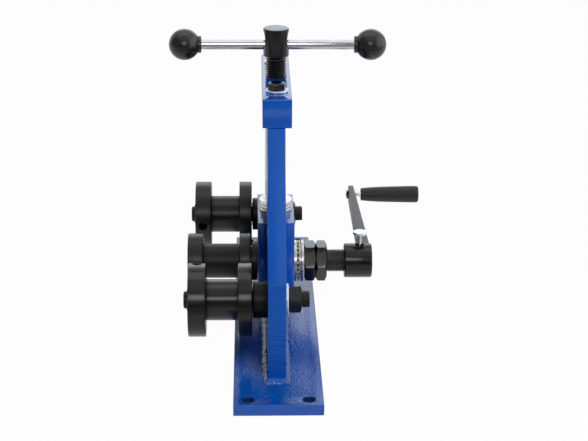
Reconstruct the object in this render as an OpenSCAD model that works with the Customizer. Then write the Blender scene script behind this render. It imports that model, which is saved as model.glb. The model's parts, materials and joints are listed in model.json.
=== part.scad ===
// Bench ring roller: three flanged rollers on an upright frame plate, a press screw with a T handle,
// and a hand crank that drives the centre roller.
// Millimetres. Z is up from the underside of the base and Y runs along the base. X runs from the
// rollers towards the crank. The origin is the centre of the underside of the base.

/* [Base] */
// Length of the base plate
base_l = 510; // [470:5:640]
// Width of the base plate
base_w = 101; // [90:1:130]
// Thickness of the base plate
base_t = 13; // [8:0.5:20]
// Diameter of the mounting holes
base_hole_d = 14; // [8:0.5:16]
// From each end of the base to the middle of its holes
base_hole_inset = 14; // [11:0.5:24]
// Distance across the base between the two holes of one end
base_hole_gauge = 68; // [50:1:72]
// Bevel along the edges of the base
base_bevel = 0.8; // [0.3:0.1:2]

/* [Frame plate] */
// Thickness of the upright plate
plate_t = 20.6; // [16:0.2:24]
// How far the plate sits off the middle of the base, towards the rollers
plate_off = 1.2; // [0:0.1:3]
// Length of the foot of the plate
foot_l = 400; // [370:5:440]
// Height at which the sides of the plate begin to slope inwards
foot_h = 120; // [108:1:160]
// Length of the top of the plate
plate_top_l = 196; // [160:2:220]
// Height of the plate above the base
plate_h = 271.4; // [255:0.2:320]
// Width of the slot that guides the slide block
slot_w = 70; // [60:1:84]
// Metal left between the base and the slot
slot_floor_t = 22; // [14:1:30]
// Leg of the weld along the foot of the plate
weld_leg = 6; // [3:0.5:8]

/* [Top cap] */
// Length of the bar that closes the frame
cap_l = 200; // [180:2:230]
// Width of the cap
cap_w = 33.6; // [30:0.2:44]
// Height of the cap
cap_h = 33.6; // [25:0.2:45]
// Bevel along the edges of the cap
cap_bevel = 0.8; // [0.3:0.1:2]
// Distance between the two cap bolts
cap_bolt_gauge = 127; // [112:1:140]
// Diameter of the cap bolts
cap_bolt_d = 12; // [8:1:14]
// How far the cap bolts reach into the plate
cap_bolt_reach = 24; // [14:1:40]

/* [Slide block] */
// Length of the slide block along the frame
block_l = 103; // [96:1:120]
// Thickness of the slide block across the frame
block_t = 44; // [40:1:50]
// Height of the slide block above the drive shaft
block_above = 69; // [60:1:80]
// Depth of the slide block below the drive shaft
block_below = 36; // [30:1:40]
// How far the slide block can still go down
travel_down = 10; // [4:0.5:10]
// Gap between the slide block and its guides, on each side
slide_clear = 0.15; // [0.05:0.05:0.3]
// Bevel along the edges of the slide block
block_bevel = 1; // [0.3:0.1:2]

/* [Press screw] */
// Diameter of the thread
screw_d = 24; // [20:1:26]
// Pitch of the thread
screw_pitch = 3; // [2:0.5:4]
// Thread showing between the cap and the head
screw_show = 23; // [22:1:40]
// Diameter of the head
screw_head_d = 30.4; // [28:0.4:36]
// Height of the head
screw_head_h = 35.6; // [32:0.4:44]
// Depth of the hollows milled into two sides of the head
head_hollow_depth = 2.3; // [0.5:0.1:2.8]
// Height of those hollows
head_hollow_h = 24; // [16:1:28]
// Diameter of the spigot under the thread
spigot_d = 20; // [16:0.5:20]
// How deep the spigot reaches into the slide block
spigot_depth = 26; // [22:1:32]
// Diameter of the pins that keep the spigot in the block
keeper_pin_d = 5; // [3:0.5:6]

/* [T handle] */
// Diameter of the bar
tee_bar_d = 12; // [8:0.5:14]
// Length of the bar
tee_bar_l = 228; // [216:2:232]
// Distance between the middles of the two ball knobs
ball_gauge = 219.5; // [216:0.5:228]
// Diameter of the ball knobs
ball_d = 36.8; // [30:0.2:38]
// Diameter of the collars behind the knobs
collar_d = 20; // [15:0.5:24]
// Thickness of the collars
collar_t = 4.4; // [2:0.2:6]
// How far the bar sits off the middle of the screw
tee_offset = 2; // [-4:0.1:4]

/* [Drive shaft] */
// Diameter of the shaft inside the slide block
journal_d = 30; // [28:0.5:32]
// Diameter of the threaded length
shaft_thread_d = 28; // [22:0.5:28.5]
// Pitch of that thread
shaft_pitch = 2; // [1:0.5:3]
// Diameter of the shaft inside the centre roller
roller_seat_d = 25; // [20:0.5:26]
// Diameter of the shaft inside the crank hub
hub_seat_d = 22; // [16:0.5:22]
// Wall of the bushes in the slide block
bush_wall = 4; // [3:0.5:5]
// Length of each bush in the slide block
bush_l = 20; // [12:1:20]

/* [Bearings and nuts on the drive shaft] */
// Outer diameter of the thrust bearing
drive_bearing_d = 51.5; // [50:0.5:56]
// Thickness of the ring against the slide block
drive_house_ring_t = 4.2; // [3:0.2:5]
// Gap between the two rings, where the balls run
drive_ball_gap = 2.6; // [2.4:0.2:4.2]
// Thickness of the ring that turns with the shaft
drive_shaft_ring_t = 2.4; // [2.2:0.2:4]
// Thickness of the washer behind the nuts
drive_washer_t = 3.6; // [2:0.2:6]
// Size of the two nuts across their flats
drive_nut_af = 44; // [38:1:48]
// Thickness of the nut next to the washer
inner_nut_t = 14.8; // [8:0.2:16]
// Thickness of the outer nut
lock_nut_t = 13.6; // [8:0.2:16]

/* [Crank] */
// Thread showing between the lock nut and the hub
shaft_show = 21.7; // [12:0.1:30]
// Diameter of the hub
hub_d = 42.4; // [38:0.2:48]
// Length of the hub
hub_l = 34; // [32:0.5:44]
// Distance from the shaft to the pin of the grip
crank_r = 241; // [180:1:250]
// Thickness of the arm where it meets the hub
arm_root_t = 13.4; // [10:0.2:18]
// Thickness of the arm at its end
arm_tip_t = 6.6; // [5:0.2:13]
// Height of the arm where it meets the hub
arm_root_h = 24; // [16:1:26]
// Height of the arm at its end
arm_tip_h = 24; // [14:1:26]
// Depth of the flat seat of the arm in the hub
arm_seat_depth = 3.4; // [1:0.2:4.4]
// Diameter of the pin inside the grip
grip_pin_d = 8; // [6:0.5:9]
// Diameter of the pin where it shows beside the arm
grip_neck_d = 6.4; // [5:0.2:7.4]
// Length of pin that shows between the arm and the grip
grip_neck_l = 10.2; // [4:0.2:16]
// Length of the grip
grip_l = 79.6; // [60:1:120]
// Diameter of the thin end of the grip
grip_thin_d = 17.2; // [14:0.2:18]
// Diameter of the thick end of the grip
grip_thick_d = 23; // [20:0.2:30]
// Diameter of the thumb screw's shank
thumb_d = 5; // [4:0.5:9]
// Diameter of the knurled head of the thumb screw
thumb_head_d = 16.8; // [13:0.2:20]
// Height of the knurled head
thumb_head_h = 4; // [3:0.2:12]
// How far the head stands above the hub
thumb_rise = 13.2; // [3:0.2:16]

/* [Rollers] */
// Distance between the axles of the two lower rollers
axle_gauge = 282; // [272:2:320]
// Height of those axles above the base
axle_h = 77.7; // [72:0.5:90]
// Diameter of the axles
axle_d = 20; // [16:0.5:22]
// Diameter of the flanges of the lower rollers
low_flange_d = 85; // [76:0.5:92]
// Diameter of the sleeves of the lower rollers
low_sleeve_d = 47.5; // [42:0.5:60]
// Width of the outer flange of the lower rollers
low_outer_w = 18.6; // [17:0.2:24]
// Width between the flanges of the lower rollers
low_groove_w = 39; // [24:0.2:50]
// Width of the inner flange of the lower rollers
low_inner_w = 15.1; // [10:0.5:20]
// Diameter of the flanges of the centre roller
mid_flange_d = 68; // [60:0.5:74]
// Diameter of the sleeve of the centre roller
mid_sleeve_d = 42.5; // [38:0.5:50]
// Width of the outer flange of the centre roller
mid_outer_w = 18.6; // [17:0.2:24]
// Width between the flanges of the centre roller
mid_groove_w = 44.8; // [30:0.2:50]
// Width of the inner flange of the centre roller
mid_inner_w = 13.7; // [10:0.5:20]
// Bevel along the rims of the rollers
rim_bevel = 0.8; // [0.3:0.1:2]
// Diameter of the grub screw holes in the outer flanges
grub_d = 10; // [8:0.5:14]
// Length of those grub screws
grub_l = 12; // [8:0.5:14]

/* [Lower axles] */
// Diameter of the collar of each axle, against the frame plate
axle_collar_d = 42; // [34:0.5:48]
// Thickness of that collar
axle_collar_t = 15.8; // [10:0.2:20]
// Diameter of the low step between the collar and the roller
axle_step_d = 30; // [28:0.5:33]
// Thickness of that step
axle_step_t = 1.5; // [0.5:0.1:3]
// Wall of the bushes in the lower rollers
low_bush_wall = 4; // [3:0.5:5]
// Outer diameter of the washers under the axle nuts
axle_washer_d = 37.5; // [32:0.5:44]
// Thickness of those washers
axle_washer_t = 3.7; // [2:0.1:6]
// Size of the axle nuts across their flats
axle_nut_af = 30; // [27:1:36]
// Thickness of the axle nuts
axle_nut_t = 15.5; // [10:0.5:18]
// Length of the axle beyond its nut
axle_end_l = 9; // [4:0.2:16]
// Pitch of the axle thread
axle_pitch = 2.5; // [1.5:0.5:3]
// Length of the axle beyond the outer flange
axle_stub_l = 6.6; // [4:0.2:12]

/* [Hidden] */
$fn = 96;

// Overrun of every cut past the face that it leaves
cut = 1;
// Radial gap of a turning fit, and of a plain bore round a thread
run_clear = 0.05;
// Gap between two faces that turn against each other
face_clear = 0.3;
// Gap between a small loose piece and what holds it
loose_clear = 0.25;

// Faces of the frame plate along X
plate_left = -plate_t / 2 - plate_off;
plate_right = plate_t / 2 - plate_off;

// Places along Z
base_top = base_t;
plate_top = base_top + plate_h;
cap_top = plate_top + cap_h;
slot_floor = base_top + slot_floor_t;
block_bottom = slot_floor + travel_down + 4 * slide_clear;
shaft_z = block_bottom + block_below;
block_top = shaft_z + block_above;
axle_z = base_top + axle_h;
head_bottom = cap_top + screw_show;
head_top = head_bottom + screw_head_h;

// Cap bolts and washers, as shares of the bolt's diameter
bolt_af_share = 1.58;
bolt_head_share = 0.625;
washer_share = 2.17;
washer_t_share = 0.2;
bolt_hole_share = 1.08;
bolt_af = cap_bolt_d * bolt_af_share;
bolt_head_h = cap_bolt_d * bolt_head_share;
cap_washer_d = cap_bolt_d * washer_share;
cap_washer_t = cap_bolt_d * washer_t_share;

// Hexagons: the flat circle on a nut's face, and the angle of its bevel
nut_face_share = 0.475;
nut_bevel_angle = 30;
hex_sides = 6;
hex_corner = 1 / cos(180 / hex_sides);
// The turn of each nut and bolt head as it was tightened
cap_bolt_turn = [22, -12];
axle_nut_turn = [8, 19];

// One ring of a thread: share of the depth, share of the pitch
thread_shares = [[1, 0], [1, 0.1], [0, 0.43], [0, 0.57], [1, 0.9]];
thread_depth_share = 0.58;

// Press screw, its head and its bearing on the slide block
screw_bearing_share = 2;
screw_ring_share = 0.2;
screw_gap_share = 0.25;
screw_ball_share = 1.4;
screw_cage_share = 0.7;
screw_bearing_d = spigot_d * screw_bearing_share;
screw_ring_t = spigot_d * screw_ring_share;
screw_ball_gap = spigot_d * screw_gap_share;
screw_ball_d = screw_ball_gap * screw_ball_share;
screw_race_d = (screw_bearing_d + spigot_d + screw_ball_d) / 2;
screw_cage_t = screw_ball_gap * screw_cage_share;
screw_balls = 12;
screw_ring_z = block_top + screw_ring_t + screw_ball_gap;
screw_shoulder = screw_ring_z + screw_ring_t;
keeper_z = block_top - spigot_depth / 2;
keeper_groove_r = spigot_d / 2 - keeper_pin_d / 2;
keeper_y = keeper_groove_r + loose_clear + keeper_pin_d / 2;
keeper_groove_h = keeper_pin_d + 4 * loose_clear;
head_bevel_r = screw_head_d / 2 - screw_d / 2;
head_rim_share = 0.04;
head_rim = screw_head_d * head_rim_share;
tee_drop_share = 0.56;
tee_z = head_top - screw_head_h * tee_drop_share;
hollow_drop_share = 0.4;
hollow_z = head_top - screw_head_h * hollow_drop_share;
hollow_r = (pow(head_hollow_h / 2, 2) + pow(head_hollow_depth, 2)) / (2 * head_hollow_depth);

// Ball knobs: each is flattened where its collar seats
knob_flat_share = 0.78;
knob_flat_r = collar_d / 2 * knob_flat_share;
knob_flat_x = ball_gauge / 2 - sqrt(pow(ball_d / 2, 2) - pow(knob_flat_r, 2));
bar_bevel_share = 0.08;
bar_bevel = tee_bar_d * bar_bevel_share;

// Places along X on the drive shaft, from the slide block outwards
house_ring_x = block_t / 2;
drive_ball_x = house_ring_x + drive_house_ring_t;
shaft_ring_x = drive_ball_x + drive_ball_gap;
drive_washer_x = shaft_ring_x + drive_shaft_ring_t;
inner_nut_x = drive_washer_x + drive_washer_t;
lock_nut_x = inner_nut_x + inner_nut_t;
shaft_show_x = lock_nut_x + lock_nut_t;
hub_x = shaft_show_x + shaft_show;
hub_end_x = hub_x + hub_l;
journal_end_x = inner_nut_x - drive_washer_t / 3;
drive_ball_share = 1.55;
drive_cage_share = 0.6;
drive_ball_d = drive_ball_gap * drive_ball_share;
drive_race_d = drive_bearing_d - drive_ball_d - 4 * loose_clear;
drive_cage_t = drive_ball_gap * drive_cage_share;
drive_cage_d = drive_race_d + drive_ball_d / 2;
drive_balls = 24;
ring_step_share = 0.45;
ring_step_t = drive_shaft_ring_t * ring_step_share;
ring_step_d = (drive_bearing_d + journal_d) / 2;
washer_dot_share = 0.6;
washer_dot_angle = 10;

// Crank
hub_bevel_share = 0.03;
hub_bevel = hub_d * hub_bevel_share;
hub_end_wall_share = 0.12;
hub_seat_end_x = hub_end_x - hub_l * hub_end_wall_share;
arm_x = hub_end_x - hub_bevel / 2 - arm_root_t;
arm_seat_y = sqrt(pow(hub_d / 2, 2) - pow(arm_root_h / 2, 2)) - arm_seat_depth;
thumb_x_share = 0.56;
thumb_x = hub_x + hub_l * thumb_x_share;
thumb_seat_z = hub_d / 2 * cos(asin(thumb_head_d / hub_d));
thumb_teeth = 36;
thumb_tooth_share = 0.95;
hub_grub_x_share = 0.69;
hub_grub_x = hub_x + hub_l * hub_grub_x_share;
hub_grub_share = 0.12;
hub_grub_turn = -74;
hub_grub_d = hub_d * hub_grub_share;
socket_share = 0.5;
socket_depth_share = 0.45;
grub_sink_share = 0.04;

// Pin of the grip with its nut and snap ring, as shares of the pin's diameter and of the grip's length
pin_nut_af_share = 1.3;
pin_nut_t_share = 0.38;
pin_end_share = 0.12;
pin_collar_share = 1.15;
pin_collar_l_share = 0.34;
pin_reach_share = 0.82;
snap_place_share = 0.3;
snap_t_share = 0.15;
snap_outer_share = 1.25;
snap_groove_share = 0.85;
pin_nut_af = grip_pin_d * pin_nut_af_share;
pin_nut_t = grip_pin_d * pin_nut_t_share;
pin_end_l = grip_pin_d * pin_end_share;
pin_collar_r = grip_pin_d / 2 * pin_collar_share;
pin_collar_l = grip_neck_l * pin_collar_l_share;
grip_x = arm_x + arm_tip_t + grip_neck_l;
grip_pin_end_x = grip_x + grip_l * pin_reach_share;
snap_x = grip_x + grip_l * snap_place_share;
snap_t = grip_pin_d * snap_t_share;
snap_r = grip_pin_d / 2 * snap_outer_share;
snap_groove_r = grip_pin_d / 2 * snap_groove_share;

// Section of the grip from its thin to its thick end: share of the end's radius, share of the length
grip_thin_shares = [[0.92, 0], [1, 0.012]];
grip_thick_shares = [[0.82, 0.1], [0.865, 0.2], [0.912, 0.34], [0.944, 0.52], [0.975, 0.7], [1, 0.88],
    [1, 0.96], [0.96, 0.988], [0.86, 1]];

// Rollers. The lower rollers stand against the step of their axles.
low_inner_x = plate_left - axle_collar_t - axle_step_t;
low_outer_x = low_inner_x - low_inner_w - low_groove_w - low_outer_w;
low_bush_d = axle_d + 2 * low_bush_wall;
mid_spacer_share = 1.6;
mid_spacer_d = journal_d * mid_spacer_share;
mid_step_t = axle_step_t;
mid_step_share = 1.2;
mid_step_d = journal_d * mid_step_share;
mid_spacer_t = mid_inner_w / 2;
mid_inner_x = -block_t / 2 - face_clear - mid_spacer_t - mid_step_t;
mid_outer_x = mid_inner_x - mid_inner_w - mid_groove_w - mid_outer_w;
mid_recess_share = 0.1;
mid_shaft_end_x = mid_outer_x + mid_outer_w * mid_recess_share;
key_w_share = 0.32;
key_h_share = 0.28;
key_sink_share = 0.55;
key_w = roller_seat_d * key_w_share;
key_h = roller_seat_d * key_h_share;
key_l = mid_groove_w + mid_outer_w / 2 + mid_inner_w / 2;
key_x = mid_inner_x - mid_inner_w / 2 - key_l;
key_z = roller_seat_d / 2 - key_h * key_sink_share;
// Angle of each grub screw hole, from straight up towards the back
grub_turn = [10, -92.5];
mid_grub_turn = 90;

// Axle ends and their retaining rings
axle_thread_end_x = plate_right + axle_washer_t + axle_nut_t + axle_end_l;
ring_groove_share = 0.94;
ring_outer_share = 1.28;
ring_t_share = 0.08;
ring_mouth_share = 0.25;
ring_groove_r = axle_d / 2 * ring_groove_share;
ring_outer_r = axle_d / 2 * ring_outer_share;
ring_t = axle_d * ring_t_share;
ring_x = low_outer_x - ring_t - face_clear;
ring_mouth = axle_d * ring_mouth_share;

// Throat of the weld, as a share of its leg
weld_throat_share = 0.62;

// Small bevels: at the ends of shafts as a share of the diameter, on rings as shares of the thickness
end_bevel_share = 0.0625;
ring_bevel_share = 0.125;
collar_bevel_share = 0.17;

// Points of a thread from z0 to z1 that ends on its root at both ends
function thread(r, pitch, z0, z1) = let (
        turns = floor((z1 - z0) / pitch),
        step = (z1 - z0) / turns,
        depth = pitch * thread_depth_share
    ) concat(
        [for (i = [0 : turns - 1], s = thread_shares) [r - depth * s[0], z0 + step * (i + s[1])]],
        [[r - depth, z1]]
    );

// Section of a ring with a bevel on both outer corners
function ring_section(r0, r1, z0, z1, b) =
    [[r0, z0], [r1 - b, z0], [r1, z0 + b], [r1, z1 - b], [r1 - b, z1], [r0, z1]];

module turned(points) {
    rotate_extrude() polygon(points);
}

// A turned piece whose axis runs along X at the height of the drive shaft or of an axle
module turned_x(points, z = shaft_z, y = 0) {
    translate([0, y, z]) rotate([0, 90, 0]) turned(points);
}

module rod_x(d, x0, x1, z = shaft_z, y = 0) {
    translate([x0, y, z]) rotate([0, 90, 0]) cylinder(d = d, h = x1 - x0);
}

// A block centred on X and Y with all its edges bevelled
module bevelled_block(w, l, h, b) {
    intersection() {
        linear_extrude(h) bevelled_face(w, l, b);
        translate([0, l / 2, h / 2]) rotate([90, 0, 0]) linear_extrude(l) bevelled_face(w, h, b);
        translate([-w / 2, 0, h / 2]) rotate([90, 0, 90]) linear_extrude(w) bevelled_face(l, h, b);
    }
}

module bevelled_face(w, h, b) {
    x = w / 2;
    y = h / 2;
    polygon([[b - x, -y], [x - b, -y], [x, b - y], [x, y - b],
        [x - b, y], [b - x, y], [-x, y - b], [-x, b - y]]);
}

// A hexagon nut or bolt head standing on z = 0, with its corners bevelled at both faces
module hexagon(af, h, bore, lower = true) {
    corner_r = af / 2 * hex_corner;
    face_r = af * nut_face_share;
    outer_r = corner_r + cut;
    slope = (outer_r - face_r) * tan(nut_bevel_angle);
    difference() {
        intersection() {
            cylinder(r = corner_r, h = h, $fn = hex_sides);
            turned([[0, 0], [lower ? face_r : outer_r, 0], [outer_r, lower ? slope : 0],
                [outer_r, h - slope], [face_r, h], [0, h]]);
        }
        translate([0, 0, -cut]) cylinder(d = bore, h = h + 2 * cut);
    }
}

module nut_x(x, af, h, bore, z = shaft_z, y = 0, turn = 0) {
    translate([x, y, z]) rotate([0, 90, 0]) rotate([0, 0, turn + 90]) hexagon(af, h, bore);
}

// A grub screw with a hexagon socket, its tip on z = 0
module grub_screw(d, l) {
    difference() {
        turned([[0, 0], [d / 2 * socket_share, 0], [d / 2, d / 4], [d / 2, l], [0, l]]);
        translate([0, 0, l * (1 - socket_depth_share)])
            cylinder(d = d * socket_share * hex_corner, h = l, $fn = hex_sides);
    }
}

// Ring of balls, or of their pockets, on z = 0
module ball_ring(count, race_d) {
    for (i = [0 : count - 1]) rotate([0, 0, 360 / count * i]) translate([race_d / 2, 0, 0]) children();
}

// Base and frame

module base_plate() {
    color("royalblue") difference() {
        bevelled_block(base_w, base_l, base_t, base_bevel);
        for (x = [-1, 1], y = [-1, 1])
            translate([x * base_hole_gauge / 2, y * (base_l / 2 - base_hole_inset), -cut])
                cylinder(d = base_hole_d, h = base_t + 2 * cut);
    }
}

module frame_plate() {
    color("royalblue") difference() {
        translate([plate_left, 0, base_top]) rotate([90, 0, 90]) linear_extrude(plate_t)
            polygon([[-foot_l / 2, 0], [foot_l / 2, 0], [foot_l / 2, foot_h], [plate_top_l / 2, plate_h],
                [-plate_top_l / 2, plate_h], [-foot_l / 2, foot_h]]);
        translate([plate_left - cut, -slot_w / 2, slot_floor])
            cube([plate_t + 2 * cut, slot_w, plate_top - slot_floor + cut]);
        for (side = [-1, 1]) {
            rod_x(axle_d + 2 * run_clear, plate_left - cut, plate_right + cut, axle_z,
                side * axle_gauge / 2);
            translate([0, side * cap_bolt_gauge / 2, plate_top - cap_bolt_reach - cut])
                cylinder(d = cap_bolt_d + 2 * run_clear, h = cap_bolt_reach + 2 * cut);
        }
    }
}

// One weld that runs right round the foot of the plate, with mitred corners
module weld_bead() {
    x = plate_t / 2;
    y = foot_l / 2;
    color("royalblue") translate([-plate_off, 0, base_top]) for (side = [0, 180]) rotate([0, 0, side]) {
        translate([x, y, 0]) rotate([90, 0, 0]) linear_extrude(foot_l) weld_section();
        translate([-x, y, 0]) rotate([90, 0, 90]) linear_extrude(plate_t) weld_section();
        translate([x, y, 0]) rotate_extrude(angle = 90) weld_section();
        translate([-x, y, 0]) rotate([0, 0, 90]) rotate_extrude(angle = 90) weld_section();
    }
}

module weld_section() {
    weld_throat = weld_leg * weld_throat_share;
    polygon([[0, 0], [weld_leg, 0], [weld_throat, weld_throat], [0, weld_leg]]);
}

module top_cap() {
    color("royalblue") difference() {
        translate([0, 0, plate_top]) bevelled_block(cap_w, cap_l, cap_h, cap_bevel);
        translate([0, 0, plate_top - cut]) cylinder(d = screw_d + 2 * run_clear, h = cap_h + 2 * cut);
        for (side = [-1, 1])
            translate([0, side * cap_bolt_gauge / 2, plate_top - cut])
                cylinder(d = cap_bolt_d * bolt_hole_share, h = cap_h + 2 * cut);
    }
}

module cap_bolts() {
    color("dimgray") for (i = [0, 1])
        translate([0, (2 * i - 1) * cap_bolt_gauge / 2, 0]) {
            translate([0, 0, cap_top + cap_washer_t]) rotate([0, 0, cap_bolt_turn[i]])
                hexagon(bolt_af, bolt_head_h, 0, lower = false);
            translate([0, 0, plate_top - cap_bolt_reach])
                cylinder(d = cap_bolt_d, h = cap_bolt_reach + cap_h + cap_washer_t);
        }
}

module cap_washers() {
    color("silver") for (side = [-1, 1])
        translate([0, side * cap_bolt_gauge / 2, cap_top])
            turned(ring_section(cap_bolt_d / 2 * bolt_hole_share, cap_washer_d / 2, 0, cap_washer_t,
                cap_washer_t * collar_bevel_share));
}

// Lower axles

module axle(side) {
    r = axle_d / 2;
    b = axle_d * end_bevel_share;
    collar_x = plate_left - axle_collar_t;
    stub_x = low_outer_x - axle_stub_l;
    thread_x = plate_right + axle_washer_t;
    end_r = r - axle_pitch * thread_depth_share;
    color("dimgray") turned_x(concat(
        [[0, stub_x], [r - b, stub_x], [r, stub_x + b], [r, ring_x], [ring_groove_r, ring_x],
            [ring_groove_r, ring_x + ring_t + face_clear / 2], [r, ring_x + ring_t + face_clear / 2],
            [r, low_inner_x], [axle_step_d / 2, low_inner_x], [axle_step_d / 2, collar_x],
            [axle_collar_d / 2 - b, collar_x], [axle_collar_d / 2, collar_x + b],
            [axle_collar_d / 2, plate_left], [r, plate_left], [r, thread_x]],
        thread(r, axle_pitch, thread_x, axle_thread_end_x - b),
        [[end_r, axle_thread_end_x], [0, axle_thread_end_x]]), axle_z, side * axle_gauge / 2);
}

module front_axle() {
    axle(-1);
}

module rear_axle() {
    axle(1);
}

module axle_washers() {
    color("silver") for (side = [-1, 1])
        turned_x(ring_section(axle_d / 2 + loose_clear, axle_washer_d / 2, plate_right,
            plate_right + axle_washer_t, axle_washer_t * ring_bevel_share), axle_z, side * axle_gauge / 2);
}

module axle_nuts() {
    x = plate_right + axle_washer_t;
    color("dimgray") for (i = [0, 1])
        nut_x(x, axle_nut_af, axle_nut_t, axle_d + 2 * run_clear, axle_z, (2 * i - 1) * axle_gauge / 2,
            axle_nut_turn[i]);
}

module axle_retaining_rings() {
    color("dimgray") for (side = [-1, 1]) difference() {
        turned_x(ring_section(ring_groove_r, ring_outer_r, ring_x, ring_x + ring_t,
            ring_t * collar_bevel_share), axle_z, side * axle_gauge / 2);
        translate([ring_x - cut, side * axle_gauge / 2 - ring_mouth / 2, axle_z - ring_outer_r - cut])
            cube([ring_t + 2 * cut, ring_mouth, ring_outer_r + cut]);
    }
}

// Slide block and what is fixed in it

module slide_block() {
    groove_w = plate_t + 2 * slide_clear;
    web = slot_w - 2 * slide_clear;
    h = block_top - block_bottom;
    color("mediumblue") difference() {
        translate([0, 0, block_bottom]) bevelled_block(block_t, block_l, h, block_bevel);
        for (y = [web / 2, -block_l / 2 - cut])
            translate([plate_left - slide_clear, y, block_bottom - cut])
                cube([groove_w, block_l / 2 - web / 2 + cut, h + 2 * cut]);
        rod_x(journal_d + 2 * bush_wall, -block_t / 2 - cut, block_t / 2 + cut);
        translate([0, 0, block_top - spigot_depth - loose_clear])
            cylinder(d = spigot_d + 4 * run_clear, h = spigot_depth + cut);
        keeper_pins(cut);
    }
}

// Two pins, one on each side of the spigot, lying in its groove
module keeper_pins(over = 0) {
    for (side = [-1, 1])
        rod_x(keeper_pin_d, -block_t / 2 - over, block_t / 2 + over, keeper_z, side * keeper_y);
}

module screw_keeper_pins() {
    color("silver") keeper_pins();
}

module shaft_bushes() {
    color("goldenrod") for (side = [0, 180]) translate([0, 0, shaft_z]) rotate([0, 0, side])
        translate([block_t / 2 - bush_l, 0, 0]) rotate([0, 90, 0])
            turned([[journal_d / 2 + run_clear, 0], [journal_d / 2 + bush_wall, 0],
                [journal_d / 2 + bush_wall, bush_l], [journal_d / 2 + run_clear, bush_l]]);
}

// Thrust bearing under the press screw

// A flat ring with a rounded raceway in its face towards the balls
module race_ring(r0, r1, z0, z1, race_z, race_d, ball_d) {
    difference() {
        turned(ring_section(r0, r1, z0, z1, (z1 - z0) * ring_bevel_share));
        rotate_extrude() translate([race_d / 2, race_z]) circle(d = ball_d + run_clear);
    }
}

module screw_bearing_lower_ring() {
    color("silver") race_ring(spigot_d / 2 + loose_clear, screw_bearing_d / 2, block_top,
        block_top + screw_ring_t, screw_ring_z - screw_ball_gap / 2, screw_race_d, screw_ball_d);
}

module screw_bearing_upper_ring() {
    color("silver") race_ring(spigot_d / 2, screw_bearing_d / 2, screw_ring_z, screw_shoulder,
        screw_ring_z - screw_ball_gap / 2, screw_race_d, screw_ball_d);
}

module screw_bearing_cage() {
    z = screw_ring_z - screw_ball_gap / 2;
    color("silver") difference() {
        turned(ring_section(spigot_d / 2 + 2 * loose_clear, screw_bearing_d / 2 - loose_clear,
            z - screw_cage_t / 2, z + screw_cage_t / 2, screw_cage_t * ring_bevel_share));
        ball_ring(screw_balls, screw_race_d) translate([0, 0, z - screw_ball_gap / 2])
            cylinder(d = screw_ball_d + 2 * run_clear, h = screw_ball_gap);
    }
}

module screw_bearing_balls() {
    z = screw_ring_z - screw_ball_gap / 2;
    color("silver") ball_ring(screw_balls, screw_race_d) translate([0, 0, z]) sphere(d = screw_ball_d);
}

// Press screw and T handle

module press_screw() {
    r = screw_d / 2;
    s = spigot_d / 2;
    h = screw_head_d / 2;
    tip_z = block_top - spigot_depth;
    b = spigot_d * end_bevel_share;
    color("dimgray") difference() {
        turned(concat(
            [[0, tip_z], [s - b, tip_z], [s, tip_z + b], [s, keeper_z - keeper_groove_h / 2],
                [keeper_groove_r, keeper_z - keeper_groove_h / 2],
                [keeper_groove_r, keeper_z + keeper_groove_h / 2],
                [s, keeper_z + keeper_groove_h / 2], [s, screw_shoulder]],
            thread(r, screw_pitch, screw_shoulder, head_bottom),
            [[r, head_bottom], [h, head_bottom + head_bevel_r], [h, head_top - head_rim],
                [h - head_rim, head_top], [0, head_top]]));
        for (side = [-1, 1])
            translate([side * (h - head_hollow_depth + hollow_r), h + cut, hollow_z])
                rotate([90, 0, 0]) cylinder(r = hollow_r, h = screw_head_d + 2 * cut);
        rod_x(tee_bar_d + 2 * run_clear, -h - cut, h + cut, tee_z);
    }
}

module tee_bar() {
    r = tee_bar_d / 2;
    x = tee_bar_l / 2;
    color("gainsboro") translate([tee_offset, 0, 0]) turned_x([[0, -x], [r - bar_bevel, -x],
        [r, bar_bevel - x], [r, x - bar_bevel], [r - bar_bevel, x], [0, x]], tee_z);
}

module tee_bar_collars() {
    color("dimgray") translate([tee_offset, 0, tee_z]) for (side = [-90, 90]) rotate([0, side, 0])
        turned(ring_section(tee_bar_d / 2, collar_d / 2, knob_flat_x - collar_t, knob_flat_x,
            collar_t * collar_bevel_share));
}

module tee_bar_knobs() {
    color("black") translate([tee_offset, 0, tee_z]) for (side = [-90, 90]) rotate([0, side, 0])
        difference() {
            translate([0, 0, ball_gauge / 2]) sphere(d = ball_d);
            translate([0, 0, knob_flat_x - ball_d]) cylinder(d = ball_d, h = ball_d);
            cylinder(d = tee_bar_d, h = tee_bar_l / 2);
        }
}

// Thrust bearing, shaft and nuts on the crank side

module drive_race_ring(x0, x1, r0, r1) {
    difference() {
        turned_x(ring_section(r0, r1, x0, x1, (x1 - x0) * ring_bevel_share));
        translate([drive_ball_x + drive_ball_gap / 2, 0, shaft_z]) rotate([0, 90, 0])
            rotate_extrude() translate([drive_race_d / 2, 0]) circle(d = drive_ball_d + run_clear);
    }
}

module drive_bearing_block_ring() {
    color("silver") drive_race_ring(house_ring_x, drive_ball_x, journal_d / 2 + loose_clear,
        drive_bearing_d / 2);
}

module drive_bearing_shaft_ring() {
    x = drive_washer_x - ring_step_t;
    color("silver") union() {
        drive_race_ring(shaft_ring_x, x, journal_d / 2, drive_bearing_d / 2);
        turned_x([[journal_d / 2, x], [ring_step_d / 2, x], [ring_step_d / 2, drive_washer_x],
            [journal_d / 2, drive_washer_x]]);
    }
}

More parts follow.
